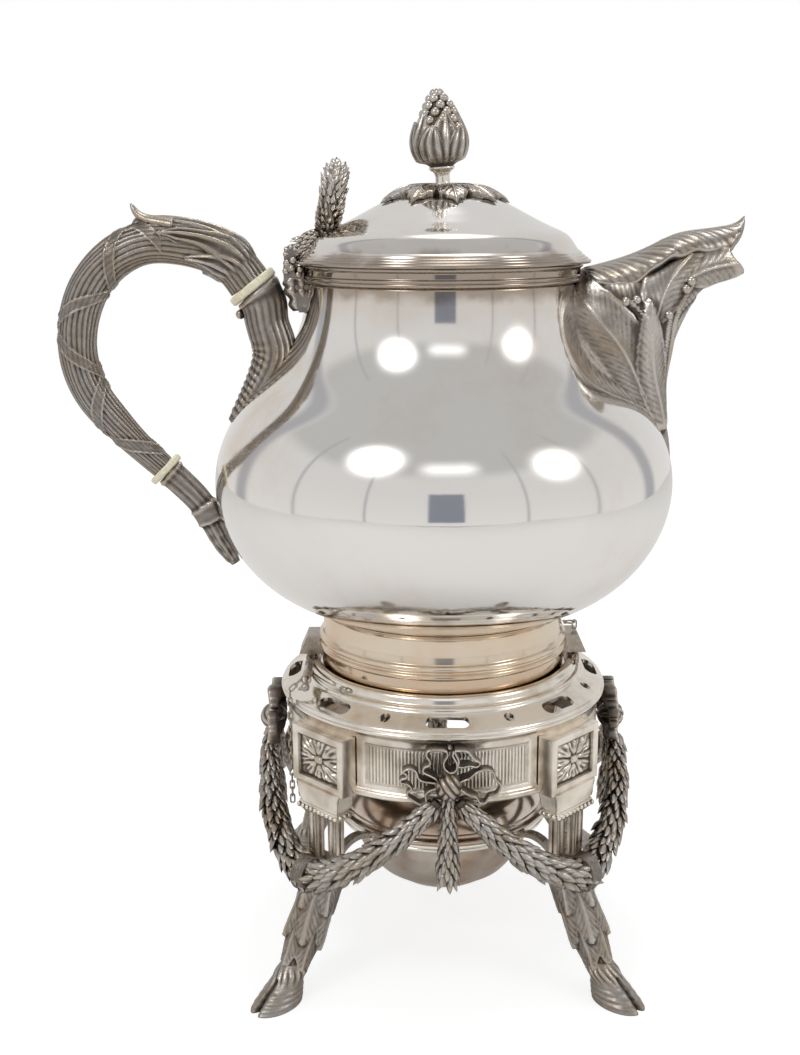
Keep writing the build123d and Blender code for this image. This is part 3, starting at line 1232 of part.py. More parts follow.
# ---------------------------------------------------------------- every node
NODES = {
    "kettle_body": kettle_body,
    "rim_collar": rim_collar,
    "foot_collar": foot_collar,
    "spout": spout,
    "spout_top_leaf": spout_top_leaf,
    "spout_tail_leaf": spout_tail_leaf,
    "spout_berries": spout_berries,
    "upper_socket": upper_socket,
    "lower_socket": lower_socket,
    "upper_insulator": lambda: insulator(0, UPPER_RING_DIAMETER, UPPER_RING_THICKNESS),
    "lower_insulator": lambda: insulator(LAST, LOWER_RING_DIAMETER, LOWER_RING_THICKNESS),
    "upper_tenon": lambda: tenon(0),
    "lower_tenon": lambda: tenon(LAST),
    "handle_grip": handle_grip,
    "grip_ribbons": grip_ribbons,
    "grip_leaf_cap": grip_leaf_cap,
    "pivot_lug": lambda: lug(1),
    "lock_lug": lambda: lug(-1),
    "hinge_bracket": hinge_bracket,
    "lid_hinge_pin": lid_hinge_pin,
    "foot_eye": foot_eye,
    "keeper_link": keeper_link,
    "lid_shell": lid_shell,
    "lid_bezel": lid_bezel,
    "lid_hinge_leaf": lid_hinge_leaf,
    "thumbpiece": thumbpiece,
    "finial_leaves": finial_leaves,
    "finial_stem": finial_stem,
    "finial_nut": finial_nut,
    "finial_bud": finial_bud,
    "finial_berries": finial_berries,
    "stand_shoulder": stand_shoulder,
    "stand_drum": lambda: DRUM_SOLID,
    "corner_plaques": corner_plaques,
    "plaque_rosettes": plaque_rosettes,
    "leg_capitals": leg_capitals,
    "leg_posts": leg_posts,
    "legs": legs,
    "hooves": hooves,
    "ribbon_bows": ribbon_bows,
    "pendant_drops": pendant_drops,
    "garland_a": lambda: garland(0.0),
    "garland_b": lambda: garland(90.0),
    "garland_c": lambda: garland(180.0),
    "garland_d": lambda: garland(270.0),
    "garland_ties": garland_ties,
    "lamp_ring": lamp_ring,
    "lamp_brackets": lamp_brackets,
    "pivot_ears": lambda: ears(1),
    "lock_ears": lambda: ears(-1),
    "pivot_pin": pivot_pin,
    "lock_pin": lock_pin,
    "pin_chain": pin_chain,
    "chain_staple": chain_staple,
    "lamp_bowl": lamp_bowl,
    "lamp_cover": lamp_cover,
    "burner_collar": burner_collar,
    "wick_tube": wick_tube,
    "wick": wick,
}

os.makedirs("parts", exist_ok=True)
for name, make in NODES.items():
    made = make()
    solids = []
    for piece in made if isinstance(made, list) else [made]:
        solids += piece.solids()
    export_step(solids[0] if len(solids) == 1 else Compound(children=solids), f"parts/{name}.step")
    print(f"{name}: {len(solids)} solid(s)")
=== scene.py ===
# %% [markdown]
# # A silver spirit kettle on its stand
# The kettle tips about one pin over a spirit lamp, and a second pin holds it upright. The frame
# brings every piece at its real size, and this lesson dresses it: turned silver is spun from
# profiles, cast silver is a smooth surface pushed in and out by leaf and reed formulas, and small
# leaves are one template laid along a line.

# %% The frame
import json
import math
import bmesh
import bpy
import numpy as np
from mathutils import Matrix, Vector

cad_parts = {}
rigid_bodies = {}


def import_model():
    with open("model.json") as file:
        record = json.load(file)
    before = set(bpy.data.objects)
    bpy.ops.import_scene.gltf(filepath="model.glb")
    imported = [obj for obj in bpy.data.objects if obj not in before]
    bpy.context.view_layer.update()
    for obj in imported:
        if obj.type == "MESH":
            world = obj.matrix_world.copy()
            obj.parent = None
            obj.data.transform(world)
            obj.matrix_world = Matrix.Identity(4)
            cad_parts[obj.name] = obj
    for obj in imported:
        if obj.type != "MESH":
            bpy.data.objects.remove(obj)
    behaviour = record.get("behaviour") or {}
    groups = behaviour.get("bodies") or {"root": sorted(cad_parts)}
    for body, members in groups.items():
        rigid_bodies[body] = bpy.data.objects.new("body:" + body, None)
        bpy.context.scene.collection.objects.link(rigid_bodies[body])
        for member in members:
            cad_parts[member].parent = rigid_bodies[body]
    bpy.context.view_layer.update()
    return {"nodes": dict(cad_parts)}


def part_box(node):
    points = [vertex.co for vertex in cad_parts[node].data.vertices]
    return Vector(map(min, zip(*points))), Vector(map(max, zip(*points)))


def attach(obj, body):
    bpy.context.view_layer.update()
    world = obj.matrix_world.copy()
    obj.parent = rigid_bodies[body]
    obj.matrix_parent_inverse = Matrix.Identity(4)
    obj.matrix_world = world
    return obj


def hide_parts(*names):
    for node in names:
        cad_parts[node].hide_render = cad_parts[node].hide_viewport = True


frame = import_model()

NODES = frame["nodes"]

# %% [markdown]
# ## Grids become meshes
# Every new piece is a grid of points worked out in millimetres as one array. A grid may close on
# itself round the piece, and a row may shrink to a point at a pole. Points that fall together are
# merged, the faces are turned outwards, and a value called relief rides on each point: 0 in a
# hollow, 1 on a crest, and set low as painted shade on undersides and where parts meet. The
# finishes read it to darken the hollows with oxide and painted shade.

# %% Mesh helpers
MM = 0.001
TAU = 2 * math.pi
MERGE = 2e-6


def grid_quads(rows, columns, wrap_rows=False, wrap_columns=False):
    """Corner numbers of a grid's quads: (i, j), (i+1, j), (i+1, j+1), (i, j+1), wrapped where closed."""
    i, j = np.meshgrid(np.arange(rows if wrap_rows else rows - 1),
                       np.arange(columns if wrap_columns else columns - 1), indexing="ij")
    up, side = (i + 1) % rows, (j + 1) % columns
    corners = [i * columns + j, up * columns + j, up * columns + side, i * columns + side]
    return np.stack(corners, -1).reshape(-1, 4)


def patch(points, relief=0.7, wrap_rows=False, wrap_columns=False):
    """A grid of points (rows, columns, 3) with its quads and its relief values, as one patch."""
    points = np.asarray(points, float)
    rows, columns = points.shape[:2]
    values = np.broadcast_to(np.asarray(relief, float), (rows, columns)).ravel()
    return points.reshape(-1, 3), grid_quads(rows, columns, wrap_rows, wrap_columns), values


def sealed(rings, relief=0.7):
    """Patch of a tube of rings (rows, columns, 3), its first and last ring closed at their middles."""
    first, last = (np.repeat(ring.mean(axis=1, keepdims=True), rings.shape[1], 1)
                   for ring in (rings[:1], rings[-1:]))
    values = np.broadcast_to(np.asarray(relief, float), rings.shape[:2])
    return patch(np.concatenate([first, rings, last]), np.concatenate([values[:1], values, values[-1:]]),
                 wrap_columns=True)


def joined(patches):
    """Several patches as one: points stacked, quads renumbered."""
    start = np.cumsum([0] + [len(points) for points, _, _ in patches[:-1]])
    points, quads, relief = zip(*patches)
    quads = [numbers + first for numbers, first in zip(quads, start)]
    return np.concatenate(points), np.concatenate(quads), np.concatenate(relief)


def merged(mesh):
    """The mesh with points that fall together merged and its faces turned outwards."""
    shape = bmesh.new()
    shape.from_mesh(mesh)
    bmesh.ops.remove_doubles(shape, verts=shape.verts, dist=MERGE)
    bmesh.ops.recalc_face_normals(shape, faces=shape.faces)
    shape.to_mesh(mesh)
    shape.free()


def linked(name, data):
    """A new object of some data, linked to the scene."""
    thing = bpy.data.objects.new(name, data)
    bpy.context.scene.collection.objects.link(thing)
    return thing


def piece(name, patches, material, body, nodes=(), sharp=None):
    """Mesh object from patches in millimetres: merged, faced outwards, smooth, riding on its body."""
    points, quads, relief = joined(patches if isinstance(patches, list) else [patches])
    mesh = bpy.data.meshes.new(name)
    mesh.from_pydata((points * MM).tolist(), [], quads.tolist())
    attribute = mesh.attributes.new("relief", "FLOAT", "POINT")
    attribute.data.foreach_set("value", relief.astype(np.float32))
    merged(mesh)
    mesh.polygons.foreach_set("use_smooth", np.ones(len(mesh.polygons), bool))
    if sharp:
        mesh.set_sharp_from_angle(angle=math.radians(sharp))
    thing = linked(name, mesh)
    mesh.materials.append(material)
    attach(thing, body)
    if nodes:
        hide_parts(*nodes)
    print(f"{name}: {len(mesh.polygons)} faces")
    return thing


def unit(a):
    """Vectors scaled to length one."""
    return a / np.maximum(np.linalg.norm(a, axis=-1, keepdims=True), 1e-12)


def step(edge0, edge1, x):
    """Smooth step: 0 below edge0, 1 above edge1, 3t^2 - 2t^3 between."""
    t = np.clip((x - edge0) / (edge1 - edge0), 0, 1)
    return t * t * (3 - 2 * t)


def bump(x, centre, width):
    """Bell of height one: exp(-((x - centre) / width)^2)."""
    return np.exp(-((x - centre) / width) ** 2)


def circle(count):
    """Equal angles once round, in radians."""
    return np.linspace(0, TAU, count, endpoint=False)


def apart(angle, middle=0.0):
    """Angle measured from a middle, from -pi to pi."""
    return (angle - middle + math.pi) % TAU - math.pi


def run_length(line):
    """Length along a line of points, from 0 at its first point."""
    return np.concatenate([[0], np.cumsum(np.linalg.norm(np.diff(line, axis=0), axis=1))])


def polar(radius, angle, level):
    """Points at a radius and an angle about Z, at a level."""
    return np.stack(np.broadcast_arrays(radius * np.cos(angle), radius * np.sin(angle), level), -1)


def curve(points, count):
    """Natural cubic spline through points, spaced by chord length, sampled count times."""
    points = np.asarray(points, float)
    t = run_length(points)
    n, h = len(t), np.diff(t)
    matrix, right = np.eye(n), np.zeros((n, points.shape[1]))
    inside = np.arange(1, n - 1)
    matrix[inside, inside - 1], matrix[inside, inside + 1] = h[:-1], h[1:]
    matrix[inside, inside] = 2 * (h[:-1] + h[1:])
    slope = np.diff(points, axis=0) / h[:, None]
    right[1:-1] = 6 * np.diff(slope, axis=0)
    bend = np.linalg.solve(matrix, right)
    s = np.linspace(0, t[-1], count)
    k = np.clip(np.searchsorted(t, s, side="right") - 1, 0, n - 2)
    a, b = (t[k + 1] - s)[:, None], (s - t[k])[:, None]
    w = h[k][:, None]
    return (bend[k] * a ** 3 + bend[k + 1] * b ** 3) / (6 * w) \
        + (points[k] / w - bend[k] * w / 6) * a + (points[k + 1] / w - bend[k + 1] * w / 6) * b


def eased(corners, radius=0.5, steps=4):
    """Outline of straight runs with each corner cut by an arc-like quadratic curve of about radius."""
    corners = np.asarray(corners, float)
    out = [corners[:1]]
    t = np.linspace(0, 1, steps)[:, None]
    for before, here, after in zip(corners, corners[1:], corners[2:]):
        back, ahead = before - here, after - here
        reach = min(radius, 0.45 * np.linalg.norm(back), 0.45 * np.linalg.norm(ahead))
        a, b = here + unit(back) * reach, here + unit(ahead) * reach
        out.append((1 - t) ** 2 * a + 2 * t * (1 - t) * here + t ** 2 * b)
    return np.concatenate(out + [corners[-1:]])


def spun(profile, around=192):
    """Surface of revolution: each (radius, z) of the profile turned about Z in equal steps."""
    r, z = np.asarray(profile, float).T[..., None]
    return polar(r, circle(around), z)


def turned(name, profile, material, body, nodes=(), around=192, sharp=None):
    """A spun piece from a profile that ends on the axis or comes back to its start."""
    profile = np.asarray(profile, float)
    loop = np.allclose(profile[0], profile[-1])
    grid = spun(profile[:-1] if loop else profile, around)
    return piece(name, patch(grid, wrap_rows=loop, wrap_columns=True), material, body, nodes, sharp)


def turn_z(points, degrees):
    """Points turned about Z."""
    c, s = math.cos(math.radians(degrees)), math.sin(math.radians(degrees))
    return points @ np.array([[c, s, 0], [-s, c, 0], [0, 0, 1]])


def turn_patch(shape, degrees):
    """A patch turned about Z."""
    return turn_z(shape[0], degrees), shape[1], shape[2]


def quarters(patches, start=0.0):
    """The same patches at four places round the stand."""
    return [turn_patch(shape, start + 90.0 * k) for k in range(4) for shape in patches]


def tube(line, high, wide, around=96, tilt=None):
    """Bar round a line of (x, z): each ring is centre + N high cos v + Y wide sin v, N square to the way."""
    line = np.asarray(line, float)
    way = unit(np.gradient(line, axis=0)) if tilt is None else np.stack([np.cos(tilt), np.sin(tilt)], -1)
    v = circle(around)
    high, wide = (np.broadcast_to(size, len(line))[:, None] for size in (high, wide))
    flat = high * np.cos(v)
    return np.stack([line[:, :1] - way[:, 1:] * flat, wide * np.sin(v), line[:, 1:] + way[:, :1] * flat], -1)


def pushed(grid, height, closed=True):
    """Grid moved along its own normals by a height; closed when its columns go round."""
    side = np.roll(grid, -1, 1) - np.roll(grid, 1, 1) if closed else np.gradient(grid, axis=1)
    normal = unit(np.cross(side, np.gradient(grid, axis=0)))
    middle = grid.mean(axis=1, keepdims=True)
    if closed and np.sum(normal * (grid - middle)) < 0:
        normal = -normal
    return grid + normal * np.broadcast_to(height, grid.shape[:2])[..., None]


def worn_and_shaded(height, gain=0.5, reach=5):
    """Relief from heights: 0.55 plus how far a point stands above the mean of its neighbours; low values
    become oxidised hollows with painted shade, high ones rubbed crests.
    """
    mean = height
    for axis in (0, 1):
        mean = sum(np.roll(mean, k, axis) for k in range(-reach, reach + 1)) / (2 * reach + 1)
    return np.clip(0.55 + gain * (height - mean), 0, 1)


def along(points, line):
    """Nearest place on a polyline: share of its length and signed distance, left side positive."""
    start, run = line[:-1], np.diff(line, axis=0)
    length = np.linalg.norm(run, axis=1)
    away = points[..., None, :] - start
    t = np.clip((away * run).sum(-1) / length ** 2, 0, 1)
    gap = away - t[..., None] * run
    distance = np.linalg.norm(gap, axis=-1)
    k = distance.argmin(-1)
    pick = lambda values: np.take_along_axis(values, k[..., None], -1)[..., 0]
    cross = run[:, 0] * away[..., 1] - run[:, 1] * away[..., 0]
    place = (np.concatenate([[0], np.cumsum(length)])[k] + pick(t) * length[k]) / length.sum()
    return place, pick(distance) * np.sign(pick(cross)), length.sum()


def leaf(points, line, half_width, dome=1.0, pitch=3.0, vein=0.3, rib=0.5, edge=0.35, slant=1.0, teeth=0.0,
         blunt=0.6, fine=0.55, flutes=0.0):
    """Height of a leaf on a plane: a domed blade with rib and edge, and slanting veins or long flutes."""
    place, off, length = along(points, curve(line, 16))
    width = half_width * np.sin(math.pi * np.clip(place, 0, 1) ** blunt) ** 0.75 + 0.01
    along_mm = place * length
    if teeth:
        width = width * (1 - teeth * np.abs(np.sin(math.pi * (along_mm - 0.5 * np.abs(off)) / (2 * pitch))))
    q = np.abs(off) / width
    inside = step(1.08, 0.92, q) * step(1.0, 0.94, place) * step(0.0, 0.03, place)
    flow = along_mm - slant * np.abs(off) * (1 - 0.25 * q)
    if flutes:
        lines = vein * np.cos(TAU * flutes * q * (1 + 0.15 * np.sin(along_mm / 7.0)))
    else:
        swell = 0.75 + 0.25 * np.sin(along_mm * 0.9 + 2.3 * np.sign(off))
        groove = 2.4 * np.abs(np.sin(math.pi * flow / pitch)) ** 0.7 - 1.6
        fine_lines = 0.25 * np.cos(TAU * flow * 2.6 / pitch)
        lines = vein * swell * (groove + fine_lines) * step(0.02, 0.3, q) * step(1.0, 0.75, q)
    top = dome * (1 - 0.6 * q ** 2) + lines + rib * bump(off, 0, fine) + edge * bump(q, 0.9, 0.1)
    return inside * top


def laid(template, centres, ways, ups, sizes):
    """Copies of a template (rows, columns, 3) as patches: its X along the way, Z along up, scaled."""
    grid, relief = template
    ways, ups = unit(np.asarray(ways, float)), np.asarray(ups, float)
    ups = unit(ups - (ups * ways).sum(-1, keepdims=True) * ways)
    sides = np.cross(ups, ways)
    basis = np.stack([ways, sides, ups], 1)
    copies = np.einsum("rci,kij->krcj", grid, basis * np.asarray(sizes, float).reshape(-1, 1, 1))
    copies = copies + np.asarray(centres, float)[:, None, None, :]
    return [patch(copy, relief) for copy in copies]


def squircle(v, power):
    """Radius of a rounded square at an angle: (|cos v|^p + |sin v|^p)^(-1/p)."""
    return (np.abs(np.cos(v)) ** power + np.abs(np.sin(v)) ** power) ** (-1 / power)


def boxy(stations, around, power, relief, grooves=0.0):
    """Closed stack of rounded rectangles from (x, half x, y, half y, z), pushed in by the grooves' share."""
    v = circle(around)
    size = squircle(v, power)
    x0, hx, y0, hy, z = (column[:, None] for column in np.asarray(stations, float).T)
    squeeze = 1 - grooves
    x, y = x0 + hx * size * np.cos(v) * squeeze, y0 + hy * size * np.sin(v) * squeeze
    return sealed(np.stack([x, y, z + 0 * v], -1), relief)


print("helpers ready")

# %% [markdown]
# ## Camera
# The lens stands in front, a little to the left and level with the lid, and looks down by about
# fourteen degrees. Its focal length is known in pixels of a frame 800 wide, and the sensor's width
# turns that into millimetres.

# %% Camera
EYE = (-0.021, -0.630, 0.3635)
PITCH = 13.58
ROLL = 0.34
FOCAL_PIXELS = 1312.0
FRAME_WIDTH = 800
SENSOR = 36.0

camera = bpy.data.cameras.new("camera")
camera.sensor_fit = "HORIZONTAL"
camera.sensor_width = SENSOR
camera.lens = SENSOR * FOCAL_PIXELS / FRAME_WIDTH
camera.clip_start = 0.01
eye = linked("camera", camera)
eye.rotation_mode = "YXZ"
eye.location = EYE
eye.rotation_euler = (math.radians(90 - PITCH), 0, 0)
bpy.context.view_layer.update()
turn = eye.matrix_world.to_3x3() @ Matrix.Rotation(math.radians(-ROLL), 3, "Z")
eye.rotation_mode = "QUATERNION"
eye.rotation_quaternion = turn.to_quaternion()
bpy.context.scene.camera = eye
bpy.context.scene.view_settings.view_transform = "Standard"
print("lens", round(camera.lens, 2), "mm")

# %% [markdown]
# ## Studio
# Polished silver is a mirror, so the room is half the finish. The world is plain white where it is
# seen, and a pale tent for reflections: a dim ceiling with one lit bar, panels parted by seams, and
# a dark slot behind the lens. Panels are masks of direction, so they need no geometry. Three round
# lamps light the cast silver, each fading to its rim so that it shows no edge in a mirror, and the
# floor adds a little white of its own where the camera sees it.

# %% Node helpers
def add_node(tree, kind, values=None, **settings):
    """A node with its settings; its inputs, by name or number, take values or links."""
    node = tree.nodes.new(kind)
    for key, value in settings.items():
        setattr(node, key, value)
    for key, value in (values or {}).items():
        socket = node.inputs[key]
        if isinstance(value, bpy.types.NodeSocket):
            tree.links.new(value, socket)
        else:
            socket.default_value = value
    return node


def maths(tree, operation, *values):
    """Output of a maths node."""
    return add_node(tree, "ShaderNodeMath", dict(enumerate(values)), operation=operation).outputs[0]


def beyond(tree, value, middle, half):
    """How far a value lies outside middle +- half: |value - middle| - half."""
    off = maths(tree, "ABSOLUTE", maths(tree, "SUBTRACT", value, float(middle)))
    return maths(tree, "SUBTRACT", off, float(half))


def ramp(tree, value, low, high, to_low=0.0, to_high=1.0):
    """Value carried smoothly from low..high to to_low..to_high."""
    limits = {"Value": value, "From Min": low, "From Max": high, "To Min": to_low, "To Max": to_high}
    return add_node(tree, "ShaderNodeMapRange", limits, interpolation_type="SMOOTHSTEP").outputs["Result"]


def mixed(tree, factor, a, b):
    """Colour a where factor is 0 and b where it is 1; inputs 6 and 7 of the mix node are its colours."""
    return add_node(tree, "ShaderNodeMix", {0: factor, 6: a, 7: b}, data_type="RGBA").outputs[2]


def new_tree(owner):
    """Emptied node tree of a world, a lamp or a material."""
    owner.use_nodes = True
    owner.node_tree.nodes.clear()
    return owner.node_tree


# %% Tent
SEEN = (1.0, 1.0, 1.0, 1.0)
TENT = (0.69, 0.68, 0.67, 1.0)
TENT_LOW = (0.80, 0.785, 0.765, 1.0)
CEILING = (0.52, 0.515, 0.51, 1.0)
SLOT = (0.25, 0.265, 0.31, 1.0)
SEAM = (0.42, 0.42, 0.44, 1.0)
EDGE = (0.30, 0.29, 0.30, 1.0)
LAMP_BOX = (1.7, 1.7, 1.7, 1.0)
AMBIENT = 0.72
HORIZON_BLEND = 30.0
# Each panel, in degrees: azimuth from the lens side (positive to the right), elevation, half width,
# half height, softness; then its colour. Later panels lie over earlier ones.
PANELS = [(0, 62, 112, 26, 5.0, CEILING), (-39, 12, 0.6, 40, 0.8, SEAM), (39, 12, 0.6, 40, 0.8, SEAM),
          (-78, 10, 0.8, 45, 1.0, SEAM), (78, 10, 0.8, 45, 1.0, SEAM), (-118, 8, 5.0, 60, 3.0, SEAM),
          (118, 8, 5.0, 60, 3.0, SEAM), (0, -9, 76, 0.6, 0.8, EDGE), (0, 8, 8.6, 13, 0.8, SLOT),
          (2, 42, 15, 2.4, 7.0, LAMP_BOX)]

world = bpy.data.worlds.new("studio")
tree = new_tree(world)
way = add_node(tree, "ShaderNodeTexCoord").outputs["Generated"]
x, y, z = add_node(tree, "ShaderNodeSeparateXYZ", {"Vector": way}).outputs
azimuth = maths(tree, "DEGREES", maths(tree, "ARCTAN2", x, maths(tree, "MULTIPLY", y, -1.0)))
height = maths(tree, "DEGREES", maths(tree, "ARCSINE", z))
room = mixed(tree, ramp(tree, height, -HORIZON_BLEND, HORIZON_BLEND), TENT_LOW, TENT)
for middle, level, half_wide, half_high, soft, colour in PANELS:
    across, above = beyond(tree, azimuth, middle, half_wide), beyond(tree, height, level, half_high)
    inside = maths(tree, "MULTIPLY", ramp(tree, across, soft, -soft), ramp(tree, above, soft, -soft))
    room = mixed(tree, inside, room, colour)
path = add_node(tree, "ShaderNodeLightPath").outputs
mirrored = maths(tree, "MAXIMUM", path["Is Glossy Ray"], path["Is Transmission Ray"])
light = mixed(tree, mirrored, (AMBIENT, AMBIENT, AMBIENT, 1.0), room)
shown = mixed(tree, path["Is Camera Ray"], light, SEEN)
background = add_node(tree, "ShaderNodeBackground", {"Color": shown, "Strength": 1.0})
add_node(tree, "ShaderNodeOutputWorld", {"Surface": background.outputs[0]})
bpy.context.scene.world = world
print("tent panels:", len(PANELS))

# %% Lamps
LAMPS = [("key", (-0.9, -1.0, 1.5), 1.4, 44.0), ("fill", (1.3, -0.7, 1.2), 1.3, 24.0),
         ("top", (0.1, 0.4, 1.7), 1.3, 34.0)]   # name, place, diameter in metres, watts
AIM = Vector((0, 0, 0.20))
FALLOFF = 3.0

for name, place, size, power in LAMPS:
    lamp = bpy.data.lights.new(name, "AREA")
    lamp.shape = "DISK"
    lamp.size = size
    lamp.energy = power
    tree = new_tree(lamp)
    disk = add_node(tree, "ShaderNodeTexCoord").outputs["UV"]
    u, v, _ = add_node(tree, "ShaderNodeSeparateXYZ", {"Vector": disk}).outputs
    squares = [maths(tree, "POWER", maths(tree, "SUBTRACT", side, 0.5), 2.0) for side in (u, v)]
    from_middle = maths(tree, "SQRT", maths(tree, "ADD", *squares))
    fade = maths(tree, "POWER", ramp(tree, from_middle, 0.5, 0.0), FALLOFF)
    glow = add_node(tree, "ShaderNodeEmission", {"Strength": fade}).outputs[0]
    add_node(tree, "ShaderNodeOutputLight", {"Surface": glow})
    holder = linked(name, lamp)
    holder.location = place
    holder.rotation_euler = (AIM - Vector(place)).to_track_quat("-Z", "Y").to_euler()
print("lamps:", [lamp[0] for lamp in LAMPS])

# %% Floor
FLOOR_HALF = 1.6
FLOOR_GLOW = 0.74
FLOOR_COLOUR = (0.80, 0.79, 0.775, 1.0)
FLOOR_SEEN = (0.40, 0.40, 0.40, 1.0)

floor_finish = bpy.data.materials.new("floor")
tree = new_tree(floor_finish)
path = add_node(tree, "ShaderNodeLightPath").outputs
matt = add_node(tree, "ShaderNodeBsdfDiffuse", {"Color": FLOOR_COLOUR}).outputs[0]
dim = add_node(tree, "ShaderNodeBsdfDiffuse", {"Color": FLOOR_SEEN}).outputs[0]
glow = add_node(tree, "ShaderNodeEmission", {"Color": SEEN, "Strength": FLOOR_GLOW}).outputs[0]
lit = add_node(tree, "ShaderNodeAddShader", {0: dim, 1: glow}).outputs[0]
both = add_node(tree, "ShaderNodeMixShader", {0: path["Is Camera Ray"], 1: matt, 2: lit}).outputs[0]
add_node(tree, "ShaderNodeOutputMaterial", {"Surface": both})
floor_mesh = bpy.data.meshes.new("floor")
corners = [(x * FLOOR_HALF, y * FLOOR_HALF, 0) for x, y in ((-1, -1), (1, -1), (1, 1), (-1, 1))]
floor_mesh.from_pydata(corners, [], [(0, 1, 2, 3)])
floor_mesh.materials.append(floor_finish)
floor = linked("floor", floor_mesh)
print("floor", 2 * FLOOR_HALF, "m")

# %% [markdown]
# ## Finishes
# Old silver is one metal with three faces: hand-polished sheet with faint swirls and warm tarnish,
# cast ornament whose hollows hold brown-black oxide, darkened further by painted shade, and edges
# rubbed bright. One node group turns the relief value into the oxide and the painted shade, and one
# makes the tarnish and the polishing marks, so every material only sets how much of each it wants.

# %% Shared effects
def new_group(name, inputs, outputs):
    """A shader node group with named sockets, and its input and output nodes."""
    group = bpy.data.node_groups.new(name, "ShaderNodeTree")
    for title, kind, value in inputs:
        socket = group.interface.new_socket(title, in_out="INPUT", socket_type=kind)
        socket.default_value = value
    for title, kind in outputs:
        group.interface.new_socket(title, in_out="OUTPUT", socket_type=kind)
    return group, group.nodes.new("NodeGroupInput").outputs, group.nodes.new("NodeGroupOutput")


def object_place(tree):
    """Place on the object, in metres."""
    return add_node(tree, "ShaderNodeTexCoord").outputs["Object"]


def noise(tree, vector, scale, detail=3.0, rough=0.55):
    """Noise value at a scale given per metre."""
    values = {"Vector": vector, "Scale": scale, "Detail": detail, "Roughness": rough}
    return add_node(tree, "ShaderNodeTexNoise", values).outputs["Fac"]


def scaled_sum(tree, a, b, weight):
    """a + b times a weight."""
    return maths(tree, "ADD", a, maths(tree, "MULTIPLY", b, weight))


def give(tree, target, **sockets):
    """Links outputs to the named inputs of a node."""
    for name, value in sockets.items():
        tree.links.new(value, target.inputs[name])


FLOAT, COLOUR = "NodeSocketFloat", "NodeSocketColor"
LOOKS = [("Color", COLOUR), ("Roughness", FLOAT), ("Height", FLOAT)]
OLD_TINT = (0.50, 0.42, 0.33, 1)

# Painted shade: where the relief is low, in hollows, on undersides and where parts meet, the colour goes to
# Dark, oxide and shade together; where it is high, to the rubbed Bright.
oxide_and_shade, given, result = new_group(
    "oxide in hollows",
    [("Relief", FLOAT, 0.7), ("Bright", COLOUR, (0.8, 0.8, 0.8, 1)), ("Dark", COLOUR, (0.05, 0.04, 0.03, 1)),
     ("Hold", FLOAT, 0.5)], LOOKS)
spot = object_place(oxide_and_shade)
mottle = noise(oxide_and_shade, spot, 420.0, 4.0)
grain = noise(oxide_and_shade, spot, 1900.0, 2.0)
level = scaled_sum(oxide_and_shade, given["Relief"], maths(oxide_and_shade, "SUBTRACT", mottle, 0.5), 0.22)
# This ramp is 0 where oxide and painted shade darken the hollows, and 1 on rubbed bright crests.
rubbed_and_unshaded = ramp(oxide_and_shade, scaled_sum(oxide_and_shade, level, given["Hold"], -0.5), 0.0, 0.62)
tint = mixed(oxide_and_shade, ramp(oxide_and_shade, noise(oxide_and_shade, spot, 60.0, 2.0), 0.35, 0.75), given["Bright"], OLD_TINT)
give(oxide_and_shade, result, Color=mixed(oxide_and_shade, rubbed_and_unshaded, given["Dark"], tint),
     Roughness=ramp(oxide_and_shade, rubbed_and_unshaded, 0.0, 1.0, 0.46, 0.24), Height=scaled_sum(oxide_and_shade, grain, mottle, 1.5))

handling, given, result = new_group(
    "polish and tarnish",
    [("Clean", COLOUR, (0.9, 0.9, 0.9, 1)), ("Tarnish", COLOUR, (0.7, 0.5, 0.3, 1)), ("Amount", FLOAT, 0.3),
     ("Patch", FLOAT, 14.0), ("Gloss", FLOAT, 0.06)], LOOKS)
spot = object_place(handling)
cloud = noise(handling, spot, given["Patch"], 5.0, 0.6)
speck = noise(handling, spot, 330.0, 2.0)
swirl = noise(handling, spot, 900.0, 2.0)
stain = ramp(handling, scaled_sum(handling, cloud, given["Amount"], 0.45), 0.55, 0.95)
stain = maths(handling, "MULTIPLY", stain, scaled_sum(handling, 0.75, speck, 0.5))
haze = scaled_sum(handling, given["Gloss"], ramp(handling, cloud, 0.3, 0.8), 0.05)
give(handling, result, Color=mixed(handling, stain, given["Clean"], given["Tarnish"]),
     Roughness=scaled_sum(handling, haze, stain, 0.12),
     Height=scaled_sum(handling, maths(handling, "MULTIPLY", cloud, 2.0), swirl, 0.25))
print("groups:", oxide_and_shade.name, "and", handling.name)


# %% Materials
SILVER_GRAIN = 0.0004
BAND_DRIFT = 0.016


def new_material(name):
    """A material, its node tree and its shader."""
    material = bpy.data.materials.new(name)
    material.use_nodes = True
    return material, material.node_tree, material.node_tree.nodes["Principled BSDF"]


def bumped(tree, shader, strength, distance, height):
    """Gives the shader a bump from a height."""
    values = {"Strength": strength, "Distance": distance, "Height": height}
    give(tree, shader, Normal=add_node(tree, "ShaderNodeBump", values).outputs[0])


